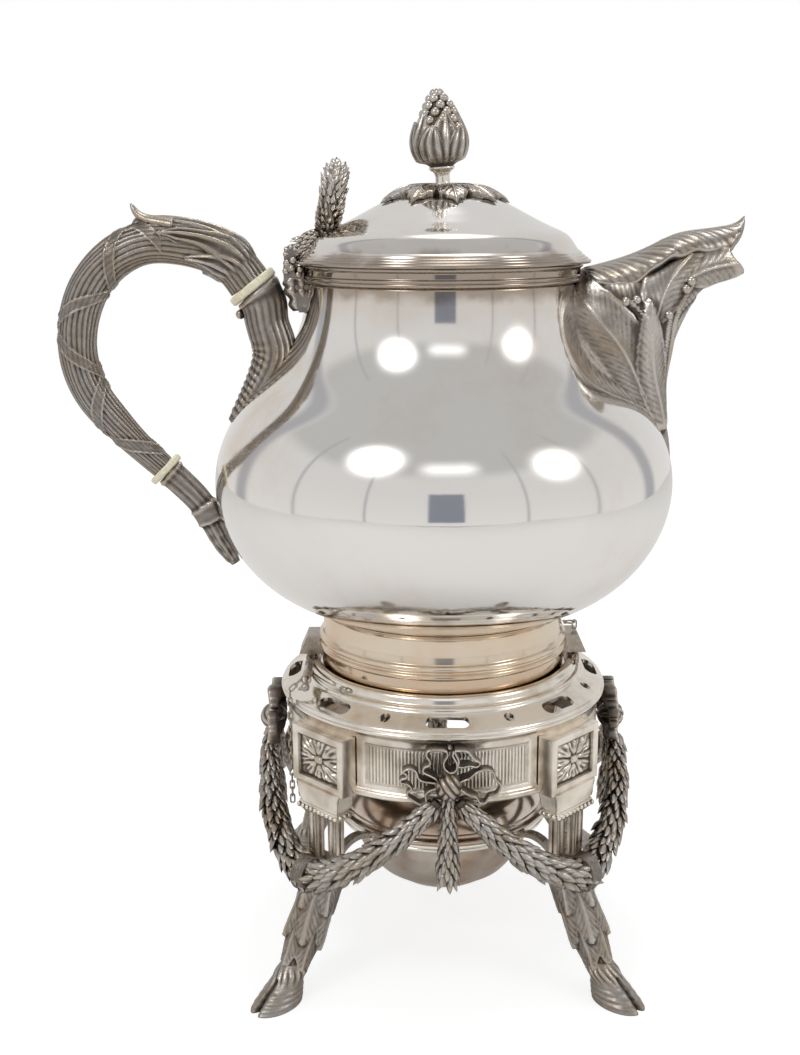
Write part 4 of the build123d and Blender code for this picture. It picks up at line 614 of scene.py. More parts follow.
def finish(name, group, values, height, relief=False, bands=()):
    """A metal whose colour, roughness and bump come from a shared group, browner in bands of height."""
    material, tree, shader = new_material(name)
    effect = add_node(tree, "ShaderNodeGroup", node_tree=group)
    for key, value in values.items():
        effect.inputs[key].default_value = value
    if relief:
        stored = add_node(tree, "ShaderNodeAttribute", attribute_name="relief").outputs["Fac"]
        give(tree, effect, Relief=stored)
    bumped(tree, shader, height, SILVER_GRAIN, effect.outputs["Height"])
    colour = effect.outputs["Color"]
    if bands:
        spot = object_place(tree)
        z = add_node(tree, "ShaderNodeSeparateXYZ", {"Vector": spot}).outputs["Z"]
        level = scaled_sum(tree, z, maths(tree, "SUBTRACT", noise(tree, spot, 38.0, 4.0), 0.5), BAND_DRIFT)
        for low, high, soft, strength, brown in bands:
            mask = maths(tree, "MULTIPLY", ramp(tree, level, low - soft, low + soft),
                         ramp(tree, level, high + soft, high - soft))
            colour = mixed(tree, maths(tree, "MULTIPLY", mask, strength), colour, brown)
    give(tree, shader, **{"Base Color": colour, "Roughness": effect.outputs["Roughness"]})
    shader.inputs["Metallic"].default_value = 1.0
    return material


BRIGHT = (0.60, 0.565, 0.525, 1)
POLISHED = (0.90, 0.885, 0.865, 1)
BROWN = (0.34, 0.27, 0.21, 1)
TEA = (0.62, 0.52, 0.42, 1)
# Dark of cast silver: oxide in the hollows, deepened there by painted shade.
OXIDE_AND_SHADE = (0.115, 0.095, 0.082, 1)
WARM = (0.74, 0.60, 0.44, 1)
COPPERY = (0.76, 0.55, 0.38, 1)

# Bands of tarnish: lowest and highest level in metres, softness, strength, colour
BODY_BANDS = [(0.326, 0.3445, 0.003, 0.85, BROWN), (0.318, 0.33, 0.008, 0.35, TEA),
              (0.16, 0.186, 0.006, 0.45, TEA), (0.344, 0.352, 0.004, 0.25, TEA)]
FOOT_BANDS = [(0.140, 0.1555, 0.002, 0.5, (0.60, 0.43, 0.30, 1))]


def sheet_finish(name, clean, tarnish, amount, patches, gloss, height, bands=()):
    """Polished sheet silver, with tarnish in patches whose scale is given per metre."""
    return finish(name, handling, {"Clean": clean, "Tarnish": tarnish, "Amount": amount, "Patch": patches,
                                   "Gloss": gloss}, height, bands=bands)


def cast_finish(name, bright, dark, hold, height, flat=None):
    """Cast silver that reads each piece's relief, or one flat relief for solids that carry none."""
    values = {"Bright": bright, "Dark": dark, "Hold": hold}
    if flat is not None:
        values["Relief"] = flat
    return finish(name, oxide_and_shade, values, height, relief=flat is None)


sheet_silver = sheet_finish("polished silver sheet", POLISHED, WARM, 0.16, 11.0, 0.05, 0.03, BODY_BANDS)
foot_silver = sheet_finish("tarnished foot silver", (0.79, 0.69, 0.56, 1), COPPERY, 0.34, 24.0, 0.09, 0.05,
                           FOOT_BANDS)
stand_silver = sheet_finish("stand sheet silver", (0.90, 0.85, 0.775, 1), (0.60, 0.50, 0.38, 1), 0.34, 34.0,
                            0.13, 0.06)
lamp_silver = sheet_finish("lamp silver", (0.76, 0.71, 0.65, 1), (0.52, 0.36, 0.25, 1), 0.62, 22.0, 0.09,
                           0.04)
# The cast finishes that read relief put oxide and painted shade in hollows, on undersides and where parts
# meet.
cast_silver = cast_finish("cast silver", BRIGHT, OXIDE_AND_SHADE, 0.42, 0.25)
dark_cast = cast_finish("oxidised cast silver with painted shade", (0.54, 0.50, 0.46, 1), (0.085, 0.070, 0.062, 1), 0.5, 0.3)
frame_silver = cast_finish("chased frame silver", (0.95, 0.88, 0.79, 1), (0.18, 0.15, 0.12, 1), 0.28, 0.1)
plain_cast = cast_finish("rubbed cast silver", (0.56, 0.52, 0.47, 1), OXIDE_AND_SHADE, 0.4, 0.2, 0.62)
hollow_cast = cast_finish("oxidised plain casting", (0.56, 0.52, 0.48, 1), OXIDE_AND_SHADE, 0.5, 0.2, 0.5)


# %% Ivory-coloured rings and wick
def ivory_finish():
    """Cream material with fine lengthwise growth lines and a soft gloss."""
    material, tree, shader = new_material("ivory ring")
    spot = object_place(tree)
    lines = {"Vector": spot, "Scale": 260.0, "Distortion": 3.0, "Detail": 2.0}
    fine = add_node(tree, "ShaderNodeTexWave", lines, bands_direction="Y").outputs["Fac"]
    cloud = noise(tree, spot, 120.0)
    colour = mixed(tree, maths(tree, "MULTIPLY", fine, 0.5), (0.90, 0.84, 0.66, 1), (0.74, 0.64, 0.42, 1))
    colour = mixed(tree, ramp(tree, cloud, 0.45, 0.8, 0.0, 0.4), colour, (0.62, 0.46, 0.26, 1))
    give(tree, shader, **{"Base Color": colour, "Roughness": ramp(tree, cloud, 0.2, 0.9, 0.28, 0.42)})
    shader.inputs["Subsurface Weight"].default_value = 0.08
    bumped(tree, shader, 0.15, 0.0003, fine)
    return material


def wick_finish():
    """Woven cotton: two crossed waves, charred towards the top."""
    material, tree, shader = new_material("cotton wick")
    spot = object_place(tree)
    threads = [add_node(tree, "ShaderNodeTexWave", {"Vector": spot, "Scale": 420.0}, bands_direction=way)
               for way in ("DIAGONAL", "Z")]
    weave = maths(tree, "MULTIPLY", *[thread.outputs["Fac"] for thread in threads])
    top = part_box("wick")[1][2]
    high = add_node(tree, "ShaderNodeSeparateXYZ", {"Vector": spot}).outputs["Z"]
    char = ramp(tree, high, top - 0.003, top - 0.001)
    colour = mixed(tree, weave, (0.55, 0.50, 0.40, 1), (0.82, 0.78, 0.68, 1))
    give(tree, shader, **{"Base Color": mixed(tree, char, colour, (0.05, 0.04, 0.035, 1))})
    shader.inputs["Roughness"].default_value = 0.9
    bumped(tree, shader, 0.6, 0.0005, weave)
    return material


ivory = ivory_finish()
cotton = wick_finish()


def dress(material, *names):
    """Puts a finish on CAD nodes whose shape already is right."""
    for name in names:
        mesh = NODES[name].data
        mesh.materials.clear()
        mesh.materials.append(material)


print("materials:", len(bpy.data.materials))


# %% [markdown]
# ## The vessel
# The body was raised from sheet and planished over stakes, so it is one smooth turned skin. A spline
# through eight radii gives the outside, and the inside is the same line moved in by the wall. A
# mirror shows every bend of the line, so it has many rows.

# %% Vessel
BODY_LINE = [(59.6, 174.0), (83.4, 185.9), (106.66, 216.2), (110.13, 240.0), (98.4, 270.0), (79.8, 290.0),
             (68.0, 310.1), (63.8, 331.0)]
BODY_WALL = 1.2

body_outer = curve(BODY_LINE, 150)
way = unit(np.gradient(body_outer, axis=0))
body_inner = (body_outer + BODY_WALL * np.stack([-way[:, 1], way[:, 0]], -1))[::-4]
turned("vessel", np.concatenate([body_outer, body_inner, body_outer[:1]]), sheet_silver, "kettle",
       ("kettle_body",), around=208)


COLLAR_RADIUS = 64.4
SUNK = 0.5
LID_EDGE = 70.4
UNDER_LID = 338.8


def below_lid(grid, level=UNDER_LID):
    """Points within the lid's edge kept down at a level, so that the lid can shut."""
    under = (np.hypot(grid[..., 0], grid[..., 1]) < LID_EDGE) & (grid[..., 2] > level)
    grid[..., 2] = np.where(under, level, grid[..., 2])
    return grid


def seated(grid):
    """Points inside the vessel or its collar moved out into the wall; those under the lid kept below it."""
    grid = np.array(grid)
    radius = np.hypot(grid[..., 0], grid[..., 1])
    skin = np.interp(grid[..., 2], body_outer[:, 1], body_outer[:, 0], right=COLLAR_RADIUS) - SUNK
    grid[..., :2] *= np.where(radius < skin, skin / np.maximum(radius, 1.0), 1.0)[..., None]
    return below_lid(grid)


# %% [markdown]
# ## Collar, foot and lid
# These are turned rings with small beads, steps and coves. Each outline is typed as corners, and
# every corner is eased by a small curve, as polishing rounds it.

# %% Collar and foot
COLLAR = [(61.2, 331.0), (64.6, 331.0), (65.6, 331.6), (65.6, 332.6), (64.8, 333.0), (65.2, 333.6),
          (65.2, 334.2), (64.5, 334.6), (64.3, 337.2), (64.9, 337.6), (65.6, 338.2), (65.6, 339.3),
          (61.2, 339.3), (61.2, 331.0)]
FOOT = [(58.1, 142.8), (60.2, 142.8), (60.4, 143.2), (60.4, 153.0), (60.8, 153.4), (61.9, 153.7),
        (62.3, 154.6), (62.0, 155.8), (60.9, 156.3), (60.7, 157.0), (61.5, 157.6), (61.8, 158.6),
        (61.3, 159.7), (60.3, 160.2), (59.9, 161.4), (59.5, 164.0), (59.3, 168.0), (59.5, 171.5),
        (60.4, 173.2), (61.6, 174.5), (58.1, 174.2), (58.1, 142.8)]
turned("rim_moulding", eased(COLLAR, 0.5), sheet_silver, "kettle", ("rim_collar",))
turned("foot_moulding", eased(FOOT, 0.5, 5), foot_silver, "kettle", ("foot_collar",))

# %% Lid
LID_TOP = [(59.4, 339.6), (69.0, 339.6), (69.3, 340.3), (69.0, 341.1), (67.8, 341.4), (67.6, 342.2),
           (66.4, 342.4), (66.1, 343.3), (65.0, 343.5), (64.7, 344.6), (63.2, 345.4), (61.6, 347.6),
           (59.8, 350.4), (57.6, 352.6), (54.6, 354.2), (50.5, 355.9), (45.5, 358.3), (39.0, 361.7),
           (32.5, 365.2), (26.5, 368.2), (20.0, 369.8), (13.0, 370.5), (0.0, 370.7)]
LID_UNDER = [(0.0, 369.3), (13.0, 369.1), (25.5, 366.8), (38.4, 360.4), (53.6, 352.8), (58.4, 349.6),
             (61.6, 344.0), (62.4, 341.0), (59.4, 341.0), (59.4, 339.6)]
lid_top = eased(LID_TOP, 1.5, 6)
turned("lid_cover", np.concatenate([lid_top, eased(LID_UNDER, 1.0)]), sheet_silver, "lid",
       ("lid_shell",), around=208)


def lid_height(radius):
    """Height of the lid's top face at a radius."""
    return np.interp(radius, lid_top[::-1, 0], lid_top[::-1, 1])


# %% [markdown]
# ## Lamp
# The spirit lamp is a spun bowl with a domed cover, held by its flange on the stand's ring. The
# rolled edge between bowl and cover is what catches the light in front.

# %% Lamp
BOWL = [(0.0, 23.8), (12.0, 24.6), (24.0, 28.6), (34.0, 35.4), (41.0, 44.2), (45.2, 54.0), (46.8, 62.0),
        (47.0, 66.7), (54.0, 66.7), (54.6, 67.4), (54.6, 68.4), (54.0, 69.1), (52.6, 69.1), (52.0, 69.6),
        (51.9, 70.8), (51.0, 71.4), (45.8, 71.4), (45.8, 62.0), (44.0, 54.4), (39.9, 45.0), (33.2, 36.4),
        (23.5, 29.8), (12.0, 25.8), (0.0, 25.0)]
COVER_RISE = 25.0
COVER_RADIUS = 51.4
COVER_FOOT = 69.1
COVER_WALL = (1.2, 1.0)

angle = np.linspace(0, math.radians(75.4), 40)
rise = COVER_RISE * np.sin(angle) ** 1.05 / math.sin(angle[-1])
dome = np.stack([COVER_RADIUS * np.cos(angle) ** 0.85, COVER_FOOT + rise], -1)
under = dome[::-2] - COVER_WALL
turned("lamp_body", eased(BOWL, 0.8), lamp_silver, "lamp", ("lamp_bowl",), around=160)
turned("lamp_dome", np.concatenate([dome, under, dome[:1]]), lamp_silver, "lamp",
       ("lamp_cover",), around=160)


# %% [markdown]
# ## Spout
# The spout was cast with leaves that nearly all grow from one stem at its foot. Rings fan round from
# the stem to the mouth: each is an ellipse between a point on the lower line and one on the upper
# line, which runs inside the vessel up to its neck. The leaves are heights over the side view, and
# the highest leaf wins, so they overlap.

# %% Spout sections
LOWER_LINE = [(111.0, 240.0), (109.6, 255.0), (106.4, 270.0), (105.2, 284.0), (107.0, 297.0), (110.6, 309.0),
              (116.2, 320.0), (123.4, 328.0), (134.4, 332.0)]
UPPER_LINE = [(103.0, 239.0), (95.0, 252.0), (76.0, 270.0), (50.0, 292.0), (42.0, 316.0), (54.0, 332.0),
              (82.0, 337.0), (107.0, 346.5), (130.0, 351.5)]
HALF_WIDTHS = [2.6, 8.0, 22.0, 35.0, 33.5, 27.5, 21.0, 16.0, 13.5]
SPOUT_WALL = 1.5
BORE_START = 60

rows, around = 190, 224
lower, upper = curve(LOWER_LINE, rows), curve(UPPER_LINE, rows)
middle, deep = (lower + upper) / 2, np.linalg.norm(upper - lower, axis=1) / 2
wide = curve(np.stack([np.arange(9.0), HALF_WIDTHS], -1), rows)[:, 1]
tilt = np.arctan2(*(upper - lower).T[::-1]) - math.pi / 2
v = circle(around)
share = np.linspace(0, 1, rows)[:, None]
duct = tube(middle, deep, wide, around, tilt)
lip = 5.2 * bump(np.cos(v), -0.6, 0.42)
duct[..., 0] += lip * share ** 12

# %% Leaves over the side view
STEM = (104.2, 263.0)
LEAVES = [  # midrib in (x, z), half width, dome, vein pitch, vein height, slant, bluntness
    ([(101.0, 263.0), (88.0, 275.0), (74.0, 286.0), (61.0, 303.0), (55.0, 330.0)],
     8.5, 0.8, 4.2, 0.05, 2.6, 0.9),
    ([STEM, (90.0, 284.7), (81.0, 301.0), (70.0, 314.7), (60.0, 327.0), (51.0, 343.0)],
     13.5, 2.0, 3.5, 0.13, 1.9, 1.1),
    ([(102.0, 262.0), (92.0, 268.5), (80.0, 273.5), (66.0, 282.0)], 5.0, 1.2, 3.2, 0.10, 1.8, 0.7),
    ([(94.0, 312.0), (97.6, 323.3), (103.0, 332.4), (111.5, 341.0), (122.0, 350.0)],
     11.5, 1.7, 3.4, 0.12, 1.6, 0.8),
    ([(106.0, 262.0), (105.6, 284.0), (108.0, 302.0), (113.0, 315.0), (121.0, 325.0)],
     5.2, 1.6, 3.2, 0.14, 1.6, 0.8),
    ([(104.4, 260.0), (100.6, 274.4), (95.0, 292.1), (92.2, 308.6), (91.6, 325.6)],
     8.4, 3.3, 3.5, 0.13, 1.6, 0.9),
    ([(108.0, 331.0), (116.9, 335.5), (126.7, 338.0), (143.5, 339.4)], 9.5, 1.7, 3.3, 0.12, 1.4, 0.9)]
STALKS = [([(82.0, 323.2), (89.5, 315.0), (90.6, 300.0), (97.0, 280.0), STEM], 0.55),
          ([(102.3, 317.1), (101.0, 300.0), (102.6, 280.0), STEM], 0.55),
          ([(111.8, 330.0), (106.0, 318.0), (104.4, 300.0), (104.6, 280.0), STEM], 0.6)]

seen = duct[..., [0, 2]]
sheath = along(seen, curve(LEAVES[0][0], 16))[1]
height = 0.25 + 0.16 * np.cos(TAU * sheath / 2.3) * step(0.1, 0.3, share)
for line, half, dome_rise, pitch, vein, slant, blunt in LEAVES:
    blade = leaf(seen, line, half, dome_rise, pitch, vein, 0.6, 0.6, slant, 0.04, blunt, 0.4)
    height = np.maximum(height, blade)
for line, size in STALKS:
    off = along(seen, curve(line, 14))[1]
    height = np.maximum(height, 3.3 * bump(off, 0, size) * (np.abs(off) < 1.6))
height = height * (0.35 + 0.65 * np.abs(np.sin(v)) ** 0.5) * step(0.0, 0.08, share)
relief = worn_and_shaded(height, 0.85, 5)
skin = seated(pushed(duct, height))
inner = tube(middle[BORE_START:], deep[BORE_START:] - SPOUT_WALL, wide[BORE_START:] - SPOUT_WALL, around,
             tilt[BORE_START:])
bore = seated(inner[::-4])
bore[0, :, 0] += lip
root = np.repeat(skin[:1].mean(axis=1, keepdims=True), around, 1)
shade = np.concatenate([relief[:1], relief, np.full(bore.shape[:2], 0.25)])
piece("spout_casting", patch(np.concatenate([root, skin, bore]), shade, wrap_columns=True), cast_silver,
      "kettle", ("spout", "spout_tail_leaf"))

# %% [markdown]
# ## The leaf over the spout
# One long leaf lies over the spout like a saddle and turns up at its tip. Its cross-section is a
# quarter of a sine on each side, and its edge waves a little. Its half width and the drop of its
# edges are read from tables along it.

# %% Top leaf
TOP_LINE = [(66.5, 336.6), (81.4, 340.4), (97.1, 346.4), (109.0, 351.8), (122.0, 354.0), (131.0, 355.2),
            (137.0, 357.0), (140.8, 360.3)]
LEAF_HALF = [(0.0, 24.5), (0.2, 25.5), (0.42, 22.5), (0.58, 19.5), (0.74, 16.5), (0.86, 13.5), (0.92, 11.0),
             (0.955, 8.8), (0.98, 6.2), (0.993, 3.6), (1.0, 0.8)]
LEAF_DROP = [(0.0, 7.0), (0.2, 10.6), (0.3, 10.4), (0.41, 8.6), (0.52, 7.6), (0.67, 8.6), (0.79, 10.8),
             (0.86, 10.8), (0.92, 9.6), (0.955, 8.0), (0.98, 5.8), (0.993, 3.4), (1.0, 0.8)]

LEAF_LENGTH = 82.0
LEAF_WALL = (0.3, 0, 1.5)

s = np.linspace(0, 1, 130)[:, None]
t = np.linspace(-1, 1, 91)
out = np.abs(t)
centre = curve(TOP_LINE, 130)
half, drop = (np.interp(s, *zip(*table)) for table in (LEAF_HALF, LEAF_DROP))
wave = (0.9 * np.sin(19 * s) + 0.5 * np.sin(41 * s)) * out ** 4 * step(1, 0.85, s)
swept = 2.0 * t ** 2 * (step(0.6, 0.9, s) * step(1.0, 0.93, s))
saddle = np.stack([centre[:, :1] - swept, half * np.sin(math.pi / 2 * t),
                   centre[:, 1:] - drop * (1 - np.cos(math.pi / 2 * t)) + wave], -1)
flow = s * LEAF_LENGTH - 21 * out * (1 - 0.25 * out)
veins = 0.6 * np.abs(np.sin(math.pi * flow / 3.9)) ** 0.7 - 0.4 + 0.2 * np.cos(TAU * flow / 9.0)
veins = veins * step(0.03, 0.3, out) * step(1.0, 0.8, out)
rise = (veins + 0.5 * bump(t, 0, 0.03)) * step(1.0, 0.9, s) + 0.7 * bump(out, 0.97, 0.025)
saddle[..., 2] += rise
under = saddle - LEAF_WALL
under[..., 1] *= 0.97
shade = np.clip(worn_and_shaded(rise, 0.5, 4) + 0.5 * bump(out, 0.97, 0.03), 0, 1)
leaf_rings = below_lid(np.concatenate([saddle, under[:, ::-1]], 1), UNDER_LID - 0.2)
shade = np.concatenate([shade, np.full(rise.shape, 0.35)], 1)
piece("spout_leaf", sealed(leaf_rings, shade), cast_silver, "kettle", ("spout_top_leaf",))

# %% Berries on the spout
def ball(rows, around):
    """Unit sphere as a grid from pole to pole."""
    a, b = np.linspace(0, math.pi, rows)[:, None], circle(around)
    return polar(np.sin(a), b, np.cos(a))


def berries(centres, radius, away, rows=9, around=14):
    """Balls whose relief falls off on the side turned from away, as painted shade where they touch their
    neighbours.
    """
    grid = ball(rows, around)
    shapes = []
    for centre, out in zip(np.asarray(centres, float), unit(np.asarray(away, float))):
        relief = step(-0.35, 0.35, grid @ out)
        shapes.append(patch(centre + radius * grid, 0.1 + 0.9 * relief, wrap_columns=True))
    return shapes


BERRY_PROUD = 0.9
SPOUT_BERRIES = [(81.0, 323.0), (86.0, 323.6), (101.6, 316.8), (112.0, 331.6), (109.8, 328.0)]
near = skin[..., 1] < -2
seeds = []
for x, z in SPOUT_BERRIES:
    gap = np.where(near, np.hypot(skin[..., 0] - x, skin[..., 2] - z), 1e9)
    depth = skin[..., 1].ravel()[gap.argmin()] - BERRY_PROUD
    seeds += [(x, depth, z), (x, -depth, z)]
seeds = np.array(seeds)
piece("berries_on_spout", berries(seeds, 2.2, seeds * (0, 1, 0)), cast_silver, "kettle",
      ("spout_berries",))


# %% [markdown]
# ## Handle
# The grip is a casting of lengthwise reeds bound by two flat ribbons that wind in opposite ways and
# cross over and under the bend. A leaf cap covers its upper end. All of it is one tube pushed in
# and out: reeds by a cosine round it, ribbons by the distance from a helix, the cap by leaf heights.

# %% Grip
GRIP = [(-91.2, 330.5, 23.0), (-98.0, 339.0, 22.6), (-109.5, 345.6, 22.0), (-124.5, 349.2, 21.6),
        (-141.0, 349.0, 21.2), (-156.1, 341.5, 20.6), (-168.2, 327.0, 20.2), (-173.9, 309.0, 19.6),
        (-173.2, 291.0, 19.2), (-167.5, 277.0, 18.6), (-158.7, 265.4, 16.8), (-147.8, 253.4, 14.4),
        (-136.3, 242.6, 13.4)]
REEDS = 24
RIBBON_TURN = 51.0
RIBBON_START = 85.2
RIBBON_HALF = 2.5
CAP_END = 62.0
REED_DEPTH = 1.85

rows, around = 340, 192
grip = curve(GRIP, rows)
length = run_length(grip[:, :2])[:, None]
v = circle(around)
core = grip[:, 2] / 2 - REED_DEPTH - 0.4 * step(CAP_END + 8, CAP_END - 12, length[:, 0])
bare = tube(grip[:, :2], core, core, around)
total = length[-1, 0]
sway = 0.45 * np.sin(length / 11 + 1.5 * np.cos(v)) + 0.2 * np.sin(length / 4.3 + 3 * v)
reeds = 0.6 * np.abs(np.cos(REEDS / 2 * v + sway)) ** 0.8 + 0.3 * np.cos(7 * v + 1.0 + sway)
surface = 0.6 + reeds
for hand in (-1, 1):
    turn = (v - hand * TAU * (length - RIBBON_START) / RIBBON_TURN) % TAU
    away = np.minimum(turn, TAU - turn) * grip[:, 2:] / 2 * 0.63
    strap = (away < RIBBON_HALF + 0.3) & (length > CAP_END - 16) & (length < total - 4)
    band = 1.0 + 0.3 * reeds + 0.75 * bump(away, RIBBON_HALF, 0.32) - 0.7 * step(0.1, 0.3, away - RIBBON_HALF)
    surface = np.where(strap, np.maximum(band, surface * 0.4), surface)

# %% Leaf cap
# Each leaf: angle from the outside of the bend, first and last place along the grip, half width, rise
CAP_LEAVES = [(180.0, 0.0, 26.0, 9.0, 1.5), (112.0, 0.0, 36.0, 11.0, 2.1), (-112.0, 0.0, 36.0, 11.0, 2.1),
              (54.0, 0.0, 50.0, 12.0, 2.6), (-54.0, 0.0, 50.0, 12.0, 2.6), (0.0, 2.0, 60.0, 11.0, 2.7)]
CAP_RADIUS = 11.0
CAP_BEND = 3.0

for middle, first, last, half, rise in CAP_LEAVES:
    here = apart(v, math.pi + math.radians(middle))
    plane = np.stack(np.broadcast_arrays(length, here * CAP_RADIUS), -1)
    bend = CAP_BEND * math.sin(math.radians(middle))
    line = [(first - 6, 0), ((first + last) / 2, bend * 0.3), (last, bend)]
    blade = leaf(plane, line, half, rise, 11.0, 0.6, 0.5, 0.6, 1.0, 0.34, 0.5, 0.8, 1.8) * step(3, 15, length)
    surface = np.where(blade > np.maximum(surface, 0.4), blade, surface)
grip_patch = sealed(pushed(bare, surface), worn_and_shaded(surface, 0.55, 4))

# %% Turned-up tip of the cap
TIP_LINE = [(-126.0, 357.4), (-133.0, 358.8), (-138.8, 360.2), (-143.0, 363.0), (-145.6, 367.4)]
tip = curve(TIP_LINE, 30)
fade = np.linspace(0, 1, 30)
curl = sealed(tube(tip, 3.4 * (1 - fade) ** 0.65 + 0.5, 6.4 * (1 - fade) ** 0.8 + 0.5, 32))
piece("reeded_grip", [grip_patch, curl], dark_cast, "kettle",
      ("handle_grip", "grip_ribbons", "grip_leaf_cap"))

# %% Sockets
def casting(line, surface):
    """Closed tube along (x, z, diameter) stations, pushed by a height and seated on the vessel."""
    stations = curve(line, len(surface))
    bar = tube(stations[:, :2], stations[:, 2] / 2, stations[:, 2] / 2, surface.shape[1])
    return sealed(seated(pushed(bar, surface)), worn_and_shaded(surface, 0.55, 4))


UPPER_SOCKET = [(-88.7, 327.3, 22.0), (-86.2, 324.1, 21.4), (-83.6, 312.0, 19.4), (-80.5, 299.0, 20.0),
                (-84.6, 287.0, 17.0), (-92.0, 275.5, 13.0), (-101.8, 264.4, 5.0)]
LOWER_SOCKET = [(-133.9, 240.2, 12.6), (-131.0, 237.6, 12.6), (-125.2, 232.0, 12.4), (-117.6, 223.0, 11.6),
                (-111.8, 210.5, 9.6), (-105.6, 199.0, 7.6), (-102.6, 194.0, 4.6)]

v = circle(120)
u = np.linspace(0, 1, 130)[:, None]
reeds = (0.45 * np.abs(np.cos(9 * v + 1.2 * u)) ** 0.7 + 0.35 * np.cos(4 * v + 2 * u)) * step(0.04, 0.12, u)
frill = 0.34 * np.cos(TAU * (17 * u - 0.16 * (v - math.pi) ** 2 + 0.3 * np.sin(9 * u)))
frill = frill * step(0.2, 0.5, u) * step(-0.1, 0.6, -np.cos(v))
high = reeds * (1 - 0.5 * step(0.5, 0.8, u)) + 0.9 * frill + bump(u, 0.03, 0.02)
knobs = berries([(-96.2, 0, 316)], 2.3, [(-1, 0, 0)])
knobs += berries([(-84, -8.6, 324), (-84, 8.6, 324)], 1.2, [(0, -1, 0), (0, 1, 0)])
piece("upper_socket_casting", [casting(UPPER_SOCKET, high * step(1.0, 0.93, u))] + knobs, dark_cast,
      "kettle", ("upper_socket",))

u = np.linspace(0, 1, 110)[:, None]
strapped = step(0.40, 0.43, u) * step(0.58, 0.55, u)
buckle = 1.3 * strapped + 0.7 * bump(u, 0.41, 0.015) + 0.7 * bump(u, 0.565, 0.015)
folds = (0.4 * np.cos(5 * v + 2.0 * u) + 0.2 * np.cos(11 * v - 3 * u)) * (1 - strapped)
teeth = 0.25 * np.cos(TAU * 8 * u) * np.cos(3 * v) * step(0.6, 0.7, u)
high = (buckle + folds + teeth + 0.9 * bump(u, 0.03, 0.02)) * step(1.0, 0.94, u)
piece("lower_socket_casting", casting(LOWER_SOCKET, high), dark_cast, "kettle",
      ("lower_socket",))

# %% [markdown]
# ## Insulating rings
# Two rings of pale ivory-like material stop the heat before it reaches the hand. Each is a short
# turned drum with a round edge and a few fine cracks along its grain.

# %% Insulating rings
def ring_between(start, end, radius, name, node, around=96, rows=9):
    """Drum between two points, with rounded edges, pushed in along a few fine radial cracks."""
    start, end = np.array(start), np.array(end)
    line = start + (end - start) * np.linspace(0, 1, rows)[:, None]
    size = radius - 0.9 * np.abs(np.linspace(-1, 1, rows)) ** 6
    v = circle(around)
    cracks = -0.22 * bump(np.cos(5.5 * v + 0.6), 1, 0.006) - 0.05 * np.cos(31 * v)
    skin = pushed(tube(line, size, size, around), cracks)
    piece(name, sealed(skin), ivory, "kettle", (node,), sharp=50)


ring_between((-91.2, 330.5), (-88.7, 327.3), 12.7, "upper_ring", "upper_insulator")
ring_between((-136.3, 242.6), (-133.9, 240.2), 9.3, "lower_ring", "lower_insulator")


# %% [markdown]
# ## Leaves under the finial
# A skirt of nine toothed leaves is screwed down under the stem and drapes over the lid. It is one
# disc on a polar grid: its rim follows the leaf outlines, and each leaf is domed, with rib and veins.

# %% Leaf skirt
SKIRT_LEAVES = 9
SKIRT_HOLE = 5.5
SKIRT_RADIUS = 31.2
SKIRT_TOP = 375.4

a = circle(540)
turn = TAU / SKIRT_LEAVES
local = (a + turn / 2) % turn - turn / 2
share = np.abs(local) / (turn / 2)
edge = SKIRT_RADIUS - 9.0 * share ** 1.05 - 1.3 * np.abs(np.sin(math.pi * 2.5 * share)) * step(0, 0.1, share)
s = np.linspace(0, 1, 44)[:, None]
r = SKIRT_HOLE + (edge - SKIRT_HOLE) * s
wide = np.abs(local) * r
ribs = 0.55 * bump(wide, 0, 0.5) + 0.14 * np.cos(TAU * (r - 1.2 * wide) / 3.4) * step(0.4, 1.6, wide)
dome_rise = 0.8 * (1 - share ** 1.6) * step(0.1, 0.6, s) - 0.6 * bump(share, 1.0, 0.10)
rise = (ribs + dome_rise) * step(1.02, 0.9, s) + 0.3 * bump(s, 0.95, 0.03)
top = np.maximum(SKIRT_TOP - 9.0 * (r / 31.0) ** 3.2, lid_height(r) + 0.6) + rise
back = edge - 2.0
rings = [polar(0 * s[:1], a, SKIRT_TOP - 0.2), polar(r, a, top), polar(back[None], a, lid_height(back) + 0.1)]
relief = np.clip(0.12 + worn_and_shaded(rise, 0.5, 4) - 0.4 * bump(share, 1.0, 0.12) * step(0.2, 0.5, s), 0, 1)
shade = np.concatenate([relief[:1], relief, np.full(relief[:1].shape, 0.4)])
piece("leaf_skirt", patch(np.concatenate(rings), shade, wrap_columns=True), cast_silver, "lid",
      ("finial_leaves",))

# %% [markdown]
# ## Finial
# A bud of folded leaves holds a cone of berries, leaning a little. The leaves are heights on the
# unrolled side of the bud, and each berry is a ball with painted shade where it meets the next.

# %% Bud and berries
LEAN = math.radians(4.0)
PIVOT = np.array([0, 0, 373.5])
BUD = [(2.0, 383.0), (4.8, 383.2), (8.2, 386.0), (10.8, 390.4), (11.4, 394.6), (10.4, 398.8), (8.8, 402.6),
       (7.0, 406.4), (5.2, 409.8), (3.2, 413.0), (1.2, 415.0)]
FOOT_LINE = [(0.0, 365.7), (2.0, 365.7), (2.0, 371.2), (6.4, 371.2), (6.7, 371.9), (6.3, 372.9),
             (5.0, 373.3), (3.9, 374.2), (3.4, 376.4), (3.4, 379.0), (4.0, 380.8), (5.4, 381.6),
             (6.1, 382.2), (6.1, 383.0), (5.2, 383.8), (0.0, 383.8)]
BERRY_RINGS = [(10.4, 12, 396.6), (9.3, 11, 400.0), (8.2, 9, 403.6), (6.9, 8, 407.0), (5.4, 6, 410.2),
               (3.5, 5, 413.2), (1.4, 3, 415.6)]
BERRY_RADIUS = 2.2
BUD_GIRTH = 11.0
